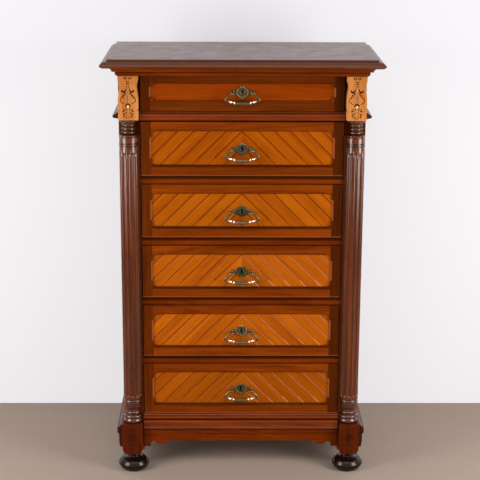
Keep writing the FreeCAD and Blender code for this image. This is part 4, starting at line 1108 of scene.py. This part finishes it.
def bail(drawer):
    """A swinging handle: bowed arms, a sagging bar with beads and collars, and a plain grip."""
    pivot = PLATE_HEIGHTS[drawer] - POST_DROP
    low = PLATE_HEIGHTS[drawer] - BAR_DROP
    mesh = bmesh.new()
    bail_rods(mesh, pivot, low)
    pivot_pins(mesh, pivot)
    rod_faces = len(mesh.faces)
    collars(mesh, low)
    paint(mesh, 1, rod_faces)
    collared_faces = len(mesh.faces)
    grip(mesh, low, STOUT_GRIP if drawer == 1 else GRIP)
    paint(mesh, 2, collared_faces)
    piece(mesh, f"drawer_{drawer}_swing_handle", f"drawer_{drawer}_handle",
          [arm_brass, bright_brass, grip_metals[drawer]], f"drawer_{drawer}_bail",
          smooth=50)


for drawer in DRAWERS:
    keyhole_plate(drawer)
    handle_posts(drawer)
    bail(drawer)


# ---- Floor, wall and light, in metres ----

WALL_Y, WALL_HEIGHT = 0.447, 4
REACH = 6


def flat(name, points, material):
    """One flat face of the stage."""
    mesh = bmesh.new()
    mesh.faces.new([mesh.verts.new(point) for point in points])
    made = linked(name, data_of(mesh, name))
    made.data.materials.append(material)


def seen_directly(tree):
    """1 where the camera, a polished surface or glass looks straight at the backdrop."""
    path = add(tree, "LightPath").outputs
    return highest(tree, path["Is Camera Ray"], path["Is Glossy Ray"], path["Is Transmission Ray"])


def matt(name, gloss):
    """A bare material without shine."""
    material, tree, shader, where = new_material(name)
    wire(tree, shader, {"Roughness": 0.9, "Specular IOR Level": gloss})
    return material, tree, shader, where


def pale_floor():
    """A pale floor with a faint mottle."""
    material, tree, shader, where = matt("pale_floor", 0.1)
    mottle = between(tree, speckle(tree, where, 60.0, 3), 0.3, 0.7, 0.0, 0.12)
    wire(tree, shader, {"Base Color": mixed(tree, mottle, (170, 154, 143), (136, 120, 108))})
    return material


def pale_wall():
    """A wall that is nearly white where it is seen directly, and clear from behind."""
    material, tree, shader, _ = matt("pale_wall", 0.0)
    wire(tree, shader, {"Base Color": shade((236, 239, 246))})
    glow = add(tree, "Emission", {"Color": shade((252, 250, 254)), "Strength": 1.0})
    front = add(tree, "MixShader", {0: times(tree, seen_directly(tree), 0.55),
                                    1: shader.outputs[0], 2: glow.outputs[0]})
    clear = add(tree, "BsdfTransparent")
    behind = add(tree, "NewGeometry").outputs["Backfacing"]
    wall = add(tree, "MixShader", {0: behind, 1: front.outputs[0], 2: clear.outputs[0]})
    wire(tree, tree.nodes["Material Output"], {"Surface": wall.outputs[0]})
    return material


def studio_air():
    """A faint cool light from all round, whose far ground is bright where it is seen directly."""
    world = bpy.data.worlds.new("studio")
    world.use_nodes = True
    tree = world.node_tree
    strength = calc(tree, "MULTIPLY_ADD", seen_directly(tree), 0.8, 0.1)
    wire(tree, tree.nodes["Background"], {"Color": (0.92, 0.94, 1.0, 1), "Strength": strength})
    return world


def soft_box(name, place, aim, width, height, power):
    """A rectangular lamp that faces a point."""
    light = bpy.data.lights.new(name, "AREA")
    light.shape = "RECTANGLE"
    light.size, light.size_y = width, height
    light.energy = power
    light.color = (1.0, 0.96, 0.92)
    made = linked(name, light)
    made.location = place
    made.rotation_euler = (Vector(aim) - Vector(place)).to_track_quat("-Z", "Y").to_euler()


scene = bpy.context.scene
scene.world = studio_air()
flat("floor", [(-REACH, -REACH, 0), (REACH, -REACH, 0), (REACH, REACH, 0), (-REACH, REACH, 0)],
     pale_floor())
flat("wall", [(-REACH, WALL_Y, 0), (REACH, WALL_Y, 0), (REACH, WALL_Y, WALL_HEIGHT),
              (-REACH, WALL_Y, WALL_HEIGHT)], pale_wall())
soft_box("left_box", (-1.9, -1.35, 1.1), (0, -0.15, 0.75), width=1.1, height=1.35, power=44)
soft_box("right_box", (1.9, -1.35, 1.1), (0, -0.15, 0.75), width=1.1, height=1.35, power=49)
soft_box("high_front", (0, -3.2, 4.4), (0, 0, 0.8), width=4.0, height=2.0, power=50)


# ---- Camera ----

EYE = (-0.0601, -4.5152, 2.0078)
PITCH, YAW, ROLL = math.radians(15.261), math.radians(-0.713), math.radians(0.274)
SENSOR, LENS = 36, 102.975

camera_data = bpy.data.cameras.new("camera")
camera_data.sensor_width = SENSOR
camera_data.lens = LENS
camera = linked("camera", camera_data)
turned = Matrix.Rotation(YAW, 4, "Z") @ Matrix.Rotation(math.pi / 2 - PITCH, 4, "X")
camera.matrix_world = Matrix.Translation(EYE) @ turned @ Matrix.Rotation(ROLL, 4, "Z")
scene.camera = camera
scene.view_settings.view_transform = "Standard"
